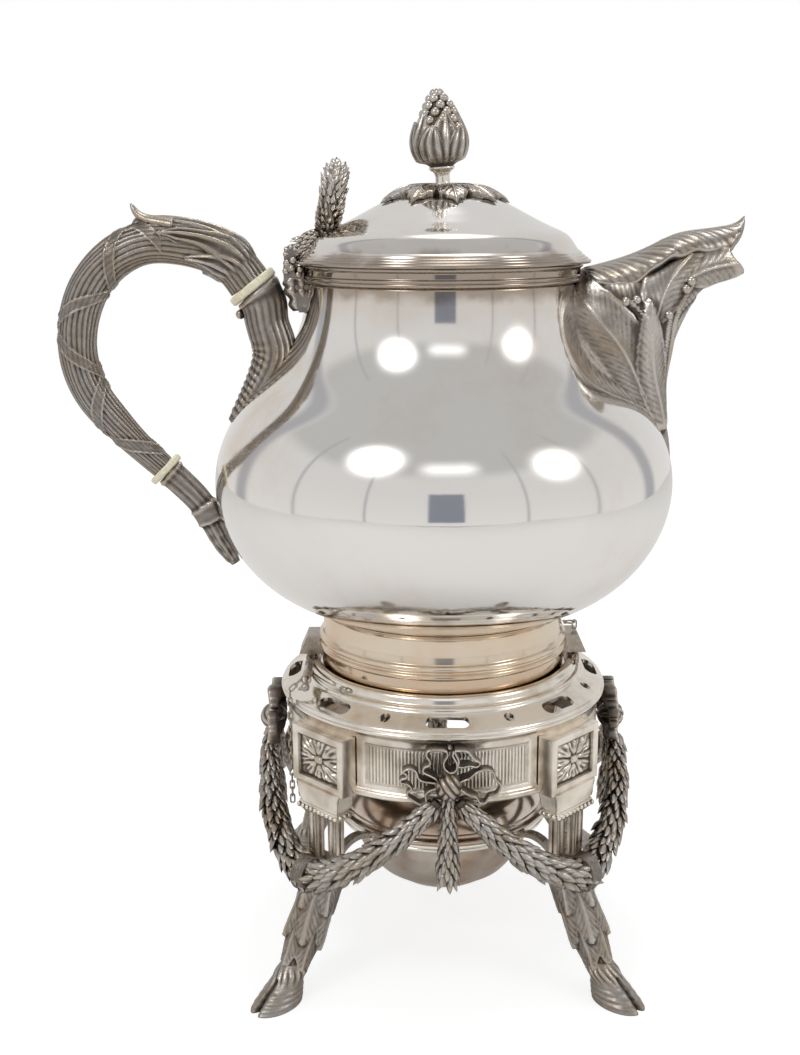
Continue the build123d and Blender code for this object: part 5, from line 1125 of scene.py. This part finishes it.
SEPALS = [(5, 0.0, 409.0, 7.6, 1.8), (5, 36.0, 402.4, 7.0, 2.5)]   # count, turn, top, half width, dome


def leaned(points):
    """Points tipped about the stem's foot towards the handle."""
    c, s = math.cos(LEAN), math.sin(LEAN)
    return (points - PIVOT) @ np.array([[c, 0, s], [0, 1, 0], [-s, 0, c]]) + PIVOT


rows, around = 110, 180
profile = curve(BUD, rows)
v = circle(around)
rise = np.zeros((rows, around))
for count, offset, high, half, dome_rise in SEPALS:
    for k in range(count):
        away = apart(v, math.radians(-72 + offset + k * 360 / count))
        plane = np.stack(np.broadcast_arrays(profile[:, 1:], BUD_GIRTH * away), -1)
        sway, top = (1.4, high + 1.6) if k % 2 else (-1.4, high - 1.2)
        line = [(380.0, 0), (391.0, sway), (top, -sway * 0.5)]
        blade = leaf(plane, line, half, dome_rise, 12.0, 0.26, 0.2, 0.8, 3.0, blunt=0.8, flutes=1.5)
        rise = np.where(blade > np.maximum(rise, 0.3), blade, rise)
rise = rise * step(384, 388, profile[:, 1:])
relief = np.where(rise > 0.2, worn_and_shaded(rise, 1.0, 4), 0.1)
bud = [spun([(0.0, 383.0)], around), pushed(spun(profile, around), rise), spun([(0.0, 415.4)], around)]
shade = np.concatenate([relief[:1], relief, relief[-1:]])
piece("finial_flower", patch(leaned(np.concatenate(bud)), shade, wrap_columns=True), cast_silver, "lid",
      ("finial_bud",))
seeds, away = [], []
for ring, (radius, count, level) in enumerate(BERRY_RINGS):
    for k in range(count):
        spot = TAU * (k + 0.5 * ring) / count - 1.4
        seeds.append((radius * math.cos(spot), radius * math.sin(spot), level))
        away.append((math.cos(spot), math.sin(spot), 0.4))
piece("finial_fruit", berries(leaned(np.array(seeds)), BERRY_RADIUS, away), cast_silver, "lid",
      ("finial_berries",))
stem_grid = spun(np.concatenate([FOOT_LINE[:2], eased(FOOT_LINE[1:], 0.5)]), 64)
stem_grid = np.where((stem_grid[..., 2] > 373.4)[..., None], leaned(stem_grid), stem_grid)
piece("finial_foot", patch(stem_grid, wrap_columns=True), stand_silver, "lid",
      ("finial_stem",))

# %% [markdown]
# ## Laurel
# The wreath and the garlands are one leaf repeated: a small closed pod with a keel, laid in rings
# round a core given painted shade to darken the gaps between the leaves. Numpy turns and scales all copies at
# once.

# %% Laurel leaf
def laurel(rows=7, width=0.44, thick=0.14):
    """Pod from (0, 0, 0) to its tip at (1, 0, 0): flat rings of six points, the tip lifted."""
    s = np.linspace(0, 1, rows)[:, None]
    ring = np.radians([0, 50, 90, 130, 180, 270])
    wide = width / 2 * np.sin(math.pi * s ** 0.75) ** 0.8
    keel = np.where(np.abs(np.sin(ring) - 1) < 1e-6, 1.5, 0.8)
    high = thick * np.sin(math.pi * s ** 0.75) * np.sin(ring) * keel + 0.10 * s ** 2
    grid = np.stack([s + 0 * ring, wide * np.cos(ring), high], -1)
    # Painted shade: the leaf darkens towards its base and is halved on its underside.
    relief = np.clip(0.34 + 0.42 * s + 0.3 * (keel - 0.8), 0, 1) * np.where(np.sin(ring) < -0.5, 0.5, 1.0)
    return grid, relief


def across_line(way):
    """Two directions square to each way along a 3-D line, and to each other."""
    side = unit(np.cross(way, (0.12, 0.08, 1.0)))
    return side, np.cross(way, side)


def leafy(line, radius, count, gap, size, seed, tilt):
    """Rings of laurel leaves along a 3-D line, every second ring turned half a leaf, over a core with painted
    shade.
    """
    radius = np.broadcast_to(np.asarray(radius, float), len(line))
    way = unit(np.gradient(line, axis=0))
    run = run_length(line)
    spots = np.arange(0.4 * gap, run[-1], gap)
    pick = lambda values: np.stack([np.interp(spots, run, values[:, k]) for k in range(3)], -1)
    centre, along_way, wide = pick(line), unit(pick(way)), np.interp(spots, run, radius)
    side, other = across_line(along_way)
    rng = np.random.default_rng(seed)
    ring = np.arange(len(spots))[:, None]
    turn = TAU * (np.arange(count) + 0.5 * (ring % 2)) / count + rng.normal(0, 0.12, (len(spots), count))
    out = np.cos(turn)[..., None] * side[:, None] + np.sin(turn)[..., None] * other[:, None]
    lift = np.radians(tilt) + rng.normal(0, 0.07, turn.shape)
    ways = along_way[:, None] * np.cos(lift)[..., None] + out * np.sin(lift)[..., None]
    base = centre[:, None] + out * (0.66 * wide)[:, None, None]
    sizes = size * (0.55 + 0.45 * wide / radius.max())[:, None] * rng.uniform(0.88, 1.12, turn.shape)
    copies = laid(laurel(), base.reshape(-1, 3), ways.reshape(-1, 3), out.reshape(-1, 3), sizes.ravel())
    side, other = across_line(way)
    v = circle(16)
    core = side[:, None] * np.cos(v)[:, None] + other[:, None] * np.sin(v)[:, None]
    # The core's low relief of 0.18 is painted shade in the gaps between the leaves.
    return copies + [sealed(line[:, None] + core * (0.78 * radius)[:, None, None], 0.18)]


# %% Wreath
WREATH_CENTRE = np.array([-52.0, 0, 367.0])
WREATH_RADIUS = 14.0
lean = math.radians(11.0)
upward, across = np.array([math.sin(lean), 0, math.cos(lean)]), np.array([0, 1.0, 0])
shapes = []
for hand in (-1, 1):
    turn = np.radians(np.linspace(-86, 84, 60))
    ring = hand * np.cos(turn)[:, None] * across + np.sin(turn)[:, None] * upward
    line = WREATH_CENTRE + WREATH_RADIUS * ring
    line[:, 2] = np.maximum(line[:, 2], 352.0)
    shapes += leafy(line, 5.2, 9, 2.4, 5.6, seed=5 + hand, tilt=20)
root = np.linspace((-57.5, 0, 352.5), (-66.5, 0, 348.6), 20)
shapes += leafy(root, 4.0, 8, 2.2, 4.4, seed=9, tilt=16)
low_root = root + np.linspace((-1.0, 0, -4.0), (-3.0, 0, -3.8), 20)
shapes += leafy(low_root, 3.5, 8, 2.2, 4.0, seed=10, tilt=16)
beads = [(-71.2 + 2.5 * math.cos(a), y, 344.6 + 2.5 * math.sin(a))
         for y in (-2.6, 0.0, 2.6) for a in (0.7, 1.6, 2.5, 3.4)]
shapes += berries(beads, 1.5, np.array(beads) - (-71.4, 0, 344.4), 7, 12)
# Painted light: every relief of the wreath is raised, lightening it against the shade it stands in.
shapes = [(p, q, np.clip(0.9 * r + 0.34, 0, 1)) for p, q, r in shapes]
piece("wreath", shapes, cast_silver, "lid", ("thumbpiece",))

# %% Carving on the hinge bracket
CARVING = [(-64.5, 6.2, 7.4, 318.0), (-65.0, 6.6, 7.6, 319.0), (-65.4, 7.4, 7.9, 321.2),
           (-65.4, 6.8, 7.6, 323.2), (-66.0, 8.0, 8.1, 325.6), (-66.4, 8.6, 8.4, 327.6),
           (-66.2, 7.9, 8.1, 328.8), (-66.4, 8.8, 8.5, 330.6), (-66.4, 8.4, 8.4, 332.2),
           (-66.4, 8.0, 8.2, 333.0)]   # x, half depth, half width, z
KNOBS = [(-73.4, 336.4), (-70.6, 337.8), (-73.0, 340.0), (-70.0, 341.2), (-67.6, 334.8), (-66.8, 337.2)]
KNOB_SIDE = 8.3

v = circle(72)
x, deep, half, z = curve(CARVING, 60).T[..., None]
size = squircle(v, 6) * (1 + 0.035 * np.cos(12 * v))
carved = np.stack([x + deep * size * np.cos(v), half * size * np.sin(v), z + 0.35 * np.cos(6 * v)], -1)
filler = boxy([(-66.8, 2.2, 0, 7.7, level) for level in (333.0, 335.4, 337.9)], 48, 8.0, 0.4)
knobs = [(x, hand * KNOB_SIDE, z) for hand in (-1, 1) for x, z in KNOBS]
piece("hinge_carving", [sealed(carved, worn_and_shaded(size * deep, 0.8, 3)), filler]
      + berries(knobs, 1.7, np.array(knobs) - (-70.5, 0, 338.0), 7, 12), dark_cast, "kettle")


# %% [markdown]
# ## Shoulder of the stand
# A turned ring closes the stand. Eight slots and eight round holes let the lamp breathe, and two
# notches make room for the ears of the pins. The ring is spun first, then one Boolean cuts the
# openings.

# %% Shoulder
SHOULDER = [(78.0, 132.0), (81.0, 132.0), (81.4, 132.8), (81.2, 133.7), (80.4, 134.1), (80.6, 134.9),
            (80.0, 135.8), (78.6, 136.6), (72.2, 139.6), (70.4, 140.5), (69.6, 141.4), (69.5, 142.4),
            (68.5, 143.0), (67.0, 143.1), (66.4, 143.7), (66.1, 145.4), (65.4, 146.6), (64.2, 147.0),
            (62.6, 147.0), (61.8, 146.5), (61.7, 142.6), (55.7, 142.6), (55.7, 141.0), (67.6, 140.0),
            (77.0, 135.2), (78.0, 134.2), (78.0, 132.0)]
VENT_RADIUS = 74.2
VENTS = [(20.0, 6.4, 0.0), (5.01, 5.0, 22.5)]   # length, width, first angle: slots, then round holes
VENT_COUNT = 8
CUT_LOW, CUT_HIGH = 130.0, 150.0
NOTCH_ROOM = (0.6, 0.3)


def prism(outline, low, high):
    """Closed upright prism on an outline of (x, y)."""
    return sealed(np.stack([np.column_stack([outline, np.full(len(outline), z)]) for z in (low, high)]))


def capsule(length, width, steps=9):
    """Outline of a slot along y: two half circles joined by straight sides."""
    a = np.linspace(0, math.pi, steps)
    top = np.stack([width / 2 * np.cos(a), (length - width) / 2 + width / 2 * np.sin(a)], -1)
    return np.concatenate([top, -top])


cutters = []
for length, width, first in VENTS:
    vent = prism(capsule(length, width) + (VENT_RADIUS, 0), CUT_LOW, CUT_HIGH)
    cutters += [turn_patch(vent, 360.0 / VENT_COUNT * k + first) for k in range(VENT_COUNT)]
for node in ("pivot_ears", "lock_ears"):
    low, high = (np.array(list(corner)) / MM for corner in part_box(node))
    (x0, y0), (x1, y1) = low[:2] - NOTCH_ROOM, high[:2] + NOTCH_ROOM
    cutters.append(prism([(x0, y0), (x1, y0), (x1, y1), (x0, y1)], low[2] + 0.2, CUT_HIGH))

shoulder = turned("shoulder", eased(SHOULDER, 0.45), stand_silver, "stand",
                  ("stand_shoulder",), around=256)
points, quads, _ = joined(cutters)
cutter_mesh = bpy.data.meshes.new("cutter")
cutter_mesh.from_pydata((points * MM).tolist(), [], quads.tolist())
merged(cutter_mesh)
cutter = linked("cutter", cutter_mesh)
cut = shoulder.modifiers.new("openings", "BOOLEAN")
cut.object = cutter
cut.operation = "DIFFERENCE"
cut.solver = "EXACT"
bpy.context.view_layer.update()
finished = bpy.data.meshes.new_from_object(shoulder.evaluated_get(bpy.context.evaluated_depsgraph_get()))
shoulder.modifiers.clear()
shoulder.data = finished
finished.polygons.foreach_set("use_smooth", np.ones(len(finished.polygons), bool))
finished.set_sharp_from_angle(angle=math.radians(40))
bpy.data.objects.remove(cutter)
print("shoulder:", len(finished.polygons), "faces after the cut")

# %% [markdown]
# ## Drum
# Between the corner plaques the drum has four sunk panels with fine upright flutes in a stepped
# frame. The drum is a cylinder of many columns, and the flutes are a sine of the angle.

# %% Drum
LEVELS = np.array([100.5, 100.9, 101.6, 103.0, 103.6, 104.2, 105.8, 106.1, 106.5, 107.0, 107.5, 107.9, 108.4,
                   109.2, 112, 116, 120, 123.4, 124.2, 124.7, 125.1, 125.6, 126.1, 126.5, 127.2, 129, 130.4,
                   131.4, 132.2])[:, None]
DRUM_LINE = [(100.5, 79.6), (100.9, 80.2), (103.0, 80.2), (103.6, 79.4), (104.4, 78.2), (128.0, 78.2),
             (130.5, 79.0), (132.2, 80.6)]   # level, radius
DRUM_BORE = 76.4
COLUMNS = 1680
FLUTES = 44
PANEL = 29.0

a = np.linspace(0, 360, COLUMNS, endpoint=False)
local = (a + 45) % 90 - 45
off = np.abs(local)
inner = step(PANEL - 1.2, PANEL - 1.9, off) * (step(107.4, 108.0, LEVELS) * step(125.2, 124.6, LEVELS))
outer = step(PANEL + 0.25, PANEL - 0.25, off) * (step(106.0, 106.6, LEVELS) * step(126.6, 126.0, LEVELS))
flutes = np.abs(np.sin(math.pi * FLUTES * (local / (2 * (PANEL - 1.6))))) ** 0.7
depth = -0.55 * outer - 0.5 * inner + 0.75 * inner * flutes
drum = polar(np.interp(LEVELS, *zip(*DRUM_LINE)) + depth, np.radians(a), LEVELS)
shade = 0.75 - 0.55 * inner * (1 - flutes) - 0.25 * outer * (1 - inner)
inside = spun([(DRUM_BORE, DRUM_LINE[-1][0]), (DRUM_BORE, DRUM_LINE[0][0])], COLUMNS)
shade = np.concatenate([shade, np.full((2, COLUMNS), 0.3)])
piece("fluted_drum", patch(np.concatenate([drum, inside]), shade, wrap_rows=True, wrap_columns=True),
      frame_silver, "stand", ("stand_drum",))

# %% [markdown]
# ## Corner plaques
# A square block stands over each leg, with a bevelled frame and a cast rosette sunk in it. The face
# is a height map over (y, z), and its outermost rows are pulled back to make the block's sides.

# %% Plaques
HALF_WIDE, LOW, HIGH, FACE, PLAQUE_BACK = 17.5, 99.8, 128.5, 85.5, 77.0
y = np.linspace(-HALF_WIDE, HALF_WIDE, 113)
z = np.linspace(LOW, HIGH, 93)
yy, zz = np.meshgrid(y, z)
edge = np.minimum(HALF_WIDE - np.abs(yy), np.minimum(zz - LOW, HIGH - zz))
u, w = yy / 12.6, (zz - (LOW + HIGH) / 2) / 9.6
size = (np.abs(u) ** 3 + np.abs(w) ** 3) ** (1 / 3) + 1e-6
turn = np.arctan2(w, u)
petals = 1.5 * np.abs(np.cos(4 * turn)) ** 0.7 * bump(size, 0.42, 0.22)
tips = 1.25 * np.abs(np.cos(6 * turn + 0.3)) ** 0.8 * bump(size, 0.82, 0.17)
creases = 0.5 * np.cos(24 * turn) * bump(size, 0.8, 0.2)
button = 2.1 * np.sqrt(np.clip(1 - (size / 0.2) ** 2, 0, 1))
carving = petals + tips + creases + button
sunk = step(4.0, 4.7, edge)
depth = -1.0 * step(0.0, 0.1, 0.35 - edge) - 0.25 * step(2.9, 3.3, edge) - 1.7 * sunk + sunk * carving
shade = np.clip(np.where(sunk > 0.5, worn_and_shaded(depth, 0.9, 4), 0.78 - 0.3 * bump(edge, 4.1, 0.5)), 0, 1)
face = np.stack([FACE + depth, yy, zz], -1)
face[[0, -1], :, 0] = face[:, [0, -1], 0] = PLAQUE_BACK
face[[1, -2], :, 0] -= 0.3
face[:, [1, -2], 0] -= 0.3
for outermost, beside in ((0, 1), (-1, -2)):
    face[outermost, :, 2] = face[beside, :, 2]
    face[:, outermost, 1] = face[:, beside, 1]
piece("plaques", quarters([patch(face, shade)], 45.0), frame_silver, "stand",
      ("corner_plaques", "plaque_rosettes"), sharp=35)

# %% [markdown]
# ## Capitals and posts
# Under each plaque a small capital with a row of beads stands on two fluted posts. All are stacks of
# rounded rectangles, and the posts are pushed in for their flutes.

# %% Capitals and posts
KNEE = 80.6
BEAD_LEVEL = 88.6
CAPITAL = [(4.4, 11.6, 86.0), (4.6, 12.2, 86.3), (4.7, 12.3, 87.0), (5.2, 13.0, 87.3), (5.5, 13.5, 88.2),
           (5.5, 13.5, 90.6), (5.0, 12.8, 91.0), (5.0, 12.8, 91.8), (5.5, 13.4, 92.2), (5.7, 13.8, 93.6),
           (5.8, 14.0, 95.6), (5.9, 14.3, 97.4), (5.9, 14.6, 98.6), (6.0, 14.8, 99.0), (6.0, 14.8, 100.6)]
capital = boxy([(KNEE, d, 0, w, z) for d, w, z in CAPITAL], 72, 14.0, 0.7)
beads = [(x, y) for x in (5.3, -5.3) for y in np.linspace(-12.6, 12.6, 10)]
beads += [(x, side * 13.3) for x in (-2.8, 0.0, 2.8) for side in (-1, 1)]
beads = np.column_stack([beads, np.zeros(len(beads))])
away = beads * (0.6, 0.3, 1) + (0, 0, -0.5)
piece("capitals", quarters([capital] + berries(beads + (KNEE, 0, BEAD_LEVEL), 1.35, away, 7, 10), 45.0),
      frame_silver, "stand", ("leg_capitals",), sharp=40)
POST = [(3.2, 61.0), (3.2, 62.6), (2.8, 63.2), (2.9, 84.6), (3.2, 85.2), (3.2, 86.4)]   # half width, z
POST_SIDE = 7.0
fluting = 0.20 * bump(np.abs(np.sin(2 * circle(72))), 0, 0.30)
posts = [boxy([(KNEE, half, y, half, z) for half, z in POST], 72, 12.0, 0.62, fluting)
         for y in (-POST_SIDE, POST_SIDE)]
piece("posts", quarters(posts, 45.0), frame_silver, "stand", ("leg_posts",), sharp=40)

# %% [markdown]
# ## Legs and hooves
# Each leg is a bent bar wrapped in three tiers of five leaves down to a goat's foot. The leaves are
# heights over the unrolled bar, with toothed edges, and a tier's leaves lap over those above it. The
# hoof is a stack of ovals with a cleft in front.

# %% Legs
LEG = [(79.6, 60.6), (81.4, 56.2), (85.2, 48.6), (90.4, 38.4), (96.4, 27.2), (101.2, 19.0), (104.6, 12.6)]
LEG_HALF = [8.2, 8.4, 8.3, 8.0, 7.2, 5.4, 4.7]
LEG_GIRTH = 7.6
# Tiers of leaves on a leg: first and last length along it, turn, rise
LEG_TIERS = [(-8.0, 25.0, 0.0, 2.4), (5.0, 41.0, 36.0, 2.7), (21.0, 53.0, 0.0, 2.2)]
KNEE_RINGS = [(5.6, 10.2, 57.2), (6.3, 10.8, 57.8), (6.5, 11.0, 58.8), (6.2, 10.7, 59.6), (6.5, 11.0, 60.2),
              (6.4, 10.9, 61.5)]   # half depth, half width, z

rows, around = 120, 108
stations = curve(np.column_stack([LEG, LEG_HALF]), rows)
s = run_length(stations[:, :2])[:, None]
v = circle(around)
bar = tube(stations[:, :2], stations[:, 2] * 0.86, stations[:, 2], around)
high = 0.25 * np.cos(12 * v) * np.ones((rows, 1))
for first, last, turn, rise in LEG_TIERS:
    for middle in np.radians(turn + 72.0 * np.arange(5)):
        plane = np.stack(np.broadcast_arrays(s, apart(v, middle) * LEG_GIRTH), -1)
        sway = 1.8 * math.sin(middle)
        line = [(first, 0), ((first + last) / 2, -sway * 0.4), (last, sway)]
        blade = leaf(plane, line, 7.0, rise, 3.6, 0.2, 0.6, 0.6, 2.4, 0.2, 1.2, 0.6)
        blade = blade * (0.35 + 0.85 * np.clip((s - first) / (last - first), 0, 1))
        high = np.where(blade > np.maximum(high, 0.3), blade, high)
leg = sealed(pushed(bar, high), worn_and_shaded(high, 0.6, 4))
knee = boxy([(KNEE, d, 0, w, z) for d, w, z in KNEE_RINGS], 64, 12.0, 0.55)
piece("acanthus_legs", quarters([leg, knee], 45.0), cast_silver, "stand", ("legs",))

# %% Hooves
HOOF = [(102.4, 6.0, 5.6, 18.0), (103.4, 6.8, 6.4, 15.6), (104.6, 7.4, 7.0, 13.4), (106.4, 7.8, 7.2, 11.2),
        (108.6, 9.2, 8.0, 8.4), (111.0, 10.9, 8.9, 5.0), (112.8, 12.3, 9.5, 2.2), (113.8, 12.9, 9.8, 0.5),
        (114.0, 12.7, 9.6, 0.0)]
v = circle(120)
x, deep, half, level = curve(HOOF, 60).T[..., None]
level = np.maximum(level, 0)
front = apart(v)
cleft = 0.34 * bump(front, 0, 0.13) * step(13.0, 10.5, level)
cleft = cleft + 0.10 * bump(np.abs(front), math.pi, 0.25) * step(9, 5, level)
toes = 0.06 * np.cos(2 * front) * step(10, 6, level)
hair = 0.10 * np.abs(np.cos(7 * v + 0.45 * level)) * bump(level, 13.6, 2.6)
rings = 0.02 * np.cos(TAU * level / 2.4) * step(9.5, 8, level)
size = 1 - cleft + toes + hair + rings
hoof = np.stack([x + deep * np.cos(v) * size, half * np.sin(v) * size, level + 0 * v], -1)
relief = np.clip(worn_and_shaded(10 * hair, 0.6, 4) - 1.6 * cleft, 0, 1)
piece("goat_hooves", quarters([sealed(hoof, relief)], 45.0), cast_silver, "stand",
      ("hooves",))

# %% [markdown]
# ## Garlands and pendants
# A swag of laurel hangs from bow to bow and passes in front of each leg, where a tie binds it. Its
# line is a fall in height and a swell in thickness over the angle, and the leaves run from the bows
# down to the leg.

# %% Garlands
KNOT_LEVEL = 113.0
SWAG_RADIUS = 92.0
SWAG_FALL = 52.0


def swag(first, last, steps=70):
    """Swag line and thickness from share first to last, where 0 is at the leg and 1 at a bow."""
    t = np.linspace(first, last, steps)
    z = KNOT_LEVEL - 2 - SWAG_FALL * (1 - np.abs(t) ** 1.5)
    thick = (7.4 - 4.4 * np.abs(t) ** 1.3) * 0.93
    return polar(SWAG_RADIUS - 6.0 * t ** 2, np.radians(45 * (1 + t)), z), thick


garland = []
for end, seed in ((-0.93, 11), (0.93, 12)):
    garland += leafy(*swag(end, 0.0), 8, 3.7, 9.6, seed=seed, tilt=17)
for name, turn in (("a", 0), ("b", 90), ("c", 180), ("d", 270)):
    piece(f"swag_{name}", [turn_patch(shape, turn) for shape in garland], cast_silver, "stand",
          (f"garland_{name}",))

# %% Pendants
PENDANT_RADIUS = 86.2
PENDANT_TOP, PENDANT_END = 108.5, 67.0
PENDANT = [(66, 3.0), (69, 4.8), (74, 5.1), (80, 4.8), (92, 3.6), (108.5, 2.6)]   # level, thickness

line = np.linspace((PENDANT_RADIUS, 0, PENDANT_TOP), (PENDANT_RADIUS, 0, PENDANT_END), 40)
thick = np.interp(line[:, 2], *zip(*PENDANT))
drop = leafy(line, thick, 7, 3.2, 7.2, seed=21, tilt=14)
piece("pendants", quarters(drop), cast_silver, "stand", ("pendant_drops",))

# %% Ties at the legs
TIE_RADIUS = 7.9
TIE_LEVEL = 59.2
TIE_HALF = 3.6

y = np.linspace(-TIE_HALF, TIE_HALF, 60)[:, None]
v = circle(72)
size = TIE_RADIUS + 0.55 * np.abs(np.cos(TAU * (y + 0.35 * np.cos(v)) / 2.9))
size = size + 0.4 * bump(np.abs(y), 3.3, 0.35) - 2.2 * step(3.4, TIE_HALF, np.abs(y))
tie = np.stack([SWAG_RADIUS + size * np.cos(v), y + 0 * v, TIE_LEVEL + size * np.sin(v)], -1)
piece("swag_ties", quarters([sealed(tie, 0.45)], 45.0), cast_silver, "stand",
      ("garland_ties",))

# %% [markdown]
# ## Bows
# The bow is a ribbon standing on its edge, so its outline is what shows: rubbed bright along the
# front edge and given painted shade inside the loops. Each loop is a smooth line in the front view,
# given a small rectangular section that reaches back to the drum. The knot is an egg wound with strands.

# %% Bows
LOOPS = [
    [(-4.4, 0.9), (-8.0, 2.0), (-11.7, 2.8), (-13.4, 4.1), (-14.5, 7.2), (-16.2, 8.3), (-19.3, 7.9),
     (-20.2, 6.9), (-18.6, 5.2), (-18.9, 3.8), (-21.0, 3.1), (-21.6, 1.7), (-19.3, 1.0), (-17.6, 0.0),
     (-16.5, -1.7), (-17.9, -2.8), (-18.4, -4.8), (-16.9, -6.2), (-14.1, -7.9), (-11.7, -8.6),
     (-10.0, -6.9), (-10.3, -4.1), (-7.9, -1.7), (-4.4, -0.9)],
    [(-5.0, 3.0), (-8.5, 5.4), (-11.4, 7.8), (-10.3, 9.6), (-8.5, 10.3), (-8.3, 12.1), (-9.6, 14.1),
     (-9.6, 16.2), (-7.2, 17.1), (-3.1, 16.9), (-0.7, 15.8), (-0.3, 14.5), (-1.7, 12.1), (-2.1, 9.6),
     (-1.0, 7.6), (1.0, 6.5), (3.1, 7.6), (3.8, 9.6), (3.2, 12.4), (1.9, 15.2), (2.6, 17.0)],
    [(2.6, 17.0), (3.6, 14.6), (4.5, 11.7), (4.1, 10.0), (6.4, 9.2), (9.3, 9.6), (13.1, 9.0), (14.0, 10.4),
     (12.1, 12.1), (10.6, 13.6), (9.6, 15.4), (8.0, 16.8), (5.2, 17.2), (2.8, 17.0)],
    [(4.4, 1.4), (7.2, 3.0), (9.4, 4.0), (11.0, 5.6), (14.8, 7.6), (18.3, 7.6), (20.3, 5.5), (21.0, 2.8),
     (23.4, 0.0), (22.7, -2.8), (21.0, -4.8), (18.3, -5.5), (16.2, -8.3), (14.1, -7.9), (12.7, -5.5),
     (9.3, -4.1), (6.5, -2.4), (4.4, -1.0)]]
# Section points: depth, side offset, and relief, low at the back as painted shade and high at the rubbed
# front edge.
SECTION = [(80.6, -0.45, 0.2), (84.5, -0.5, 0.32), (87.2, -0.5, 0.5), (88.1, -0.35, 1.0), (88.4, 0.0, 1.0),
           (88.1, 0.35, 1.0), (87.2, 0.5, 0.5), (84.5, 0.5, 0.32), (80.6, 0.45, 0.2)]
KNOT_AT = (86.0, 0.0, KNOT_LEVEL - 0.5)
KNOT_HALF = (6.2, 5.6, 6.4)

depth, off, shade = np.array(SECTION).T
bow = []
for loop in LOOPS:
    line = curve(loop, 110)
    way = unit(np.gradient(line, axis=0))
    side = np.stack([-way[:, 1], way[:, 0]], -1)
    y, z = np.moveaxis(line[:, None] + side[:, None] * off[:, None] * 1.15, -1, 0)
    sweep = 0.78 * np.sin(np.linspace(0, 9, 110))[:, None] * (depth > 81)
    clear_of_drum = 2.6 * step(5, 14, np.abs(y)) * (depth < 83)
    grid = np.stack([depth - 1.0 + sweep + clear_of_drum, y, KNOT_LEVEL + z], -1)
    bow.append(patch(grid, shade, wrap_columns=True))
y, x, z = np.moveaxis(ball(60, 96), -1, 0)
upper = z + 0.9 * y > -0.35
strands = np.where(upper, np.abs(np.cos(4.2 * (y * 1.2 + z))), np.abs(np.cos(4.4 * (y * 1.3 - 0.8 * z))))
knot = np.stack([x, y, z], -1) * KNOT_HALF * (1 + 0.11 * strands)[..., None] + KNOT_AT
bow.append(patch(knot, worn_and_shaded(1.2 * strands, 1.2, 3), wrap_columns=True))
piece("bows", quarters(bow), cast_silver, "stand", ("ribbon_bows",))

# %% [markdown]
# ## Parts that keep their solid shape
# The ring that holds the lamp is turned anew for its fine mouldings. Pins, ears, chain, hinge
# knuckles and brackets already have their true shape, so they only get a finish.

# %% Ring under the lamp
SEAT = [(50.2, 62.5), (52.8, 62.5), (53.8, 63.3), (53.8, 64.4), (53.3, 64.8), (53.8, 65.2), (53.6, 66.5),
        (50.2, 66.5), (50.2, 62.5)]
turned("lamp_seat", eased(SEAT, 0.35), stand_silver, "stand", ("lamp_ring",))

# %% Finishes on the rest
dress(sheet_silver, "lid_bezel")
dress(hollow_cast, "hinge_bracket", "lid_hinge_leaf")
dress(plain_cast, "lid_hinge_pin", "lamp_brackets", "pivot_lug", "lock_lug", "pivot_ears", "lock_ears",
      "pivot_pin", "lock_pin", "pin_chain", "chain_staple", "foot_eye", "keeper_link", "upper_tenon",
      "lower_tenon", "finial_nut")
dress(lamp_silver, "burner_collar", "wick_tube")
dress(cotton, "wick")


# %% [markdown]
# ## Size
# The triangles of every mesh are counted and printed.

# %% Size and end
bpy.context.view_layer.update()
triangles = sum(len(thing.data.polygons) * 2 for thing in bpy.data.objects if thing.type == "MESH")
print("about", triangles, "triangles in all")
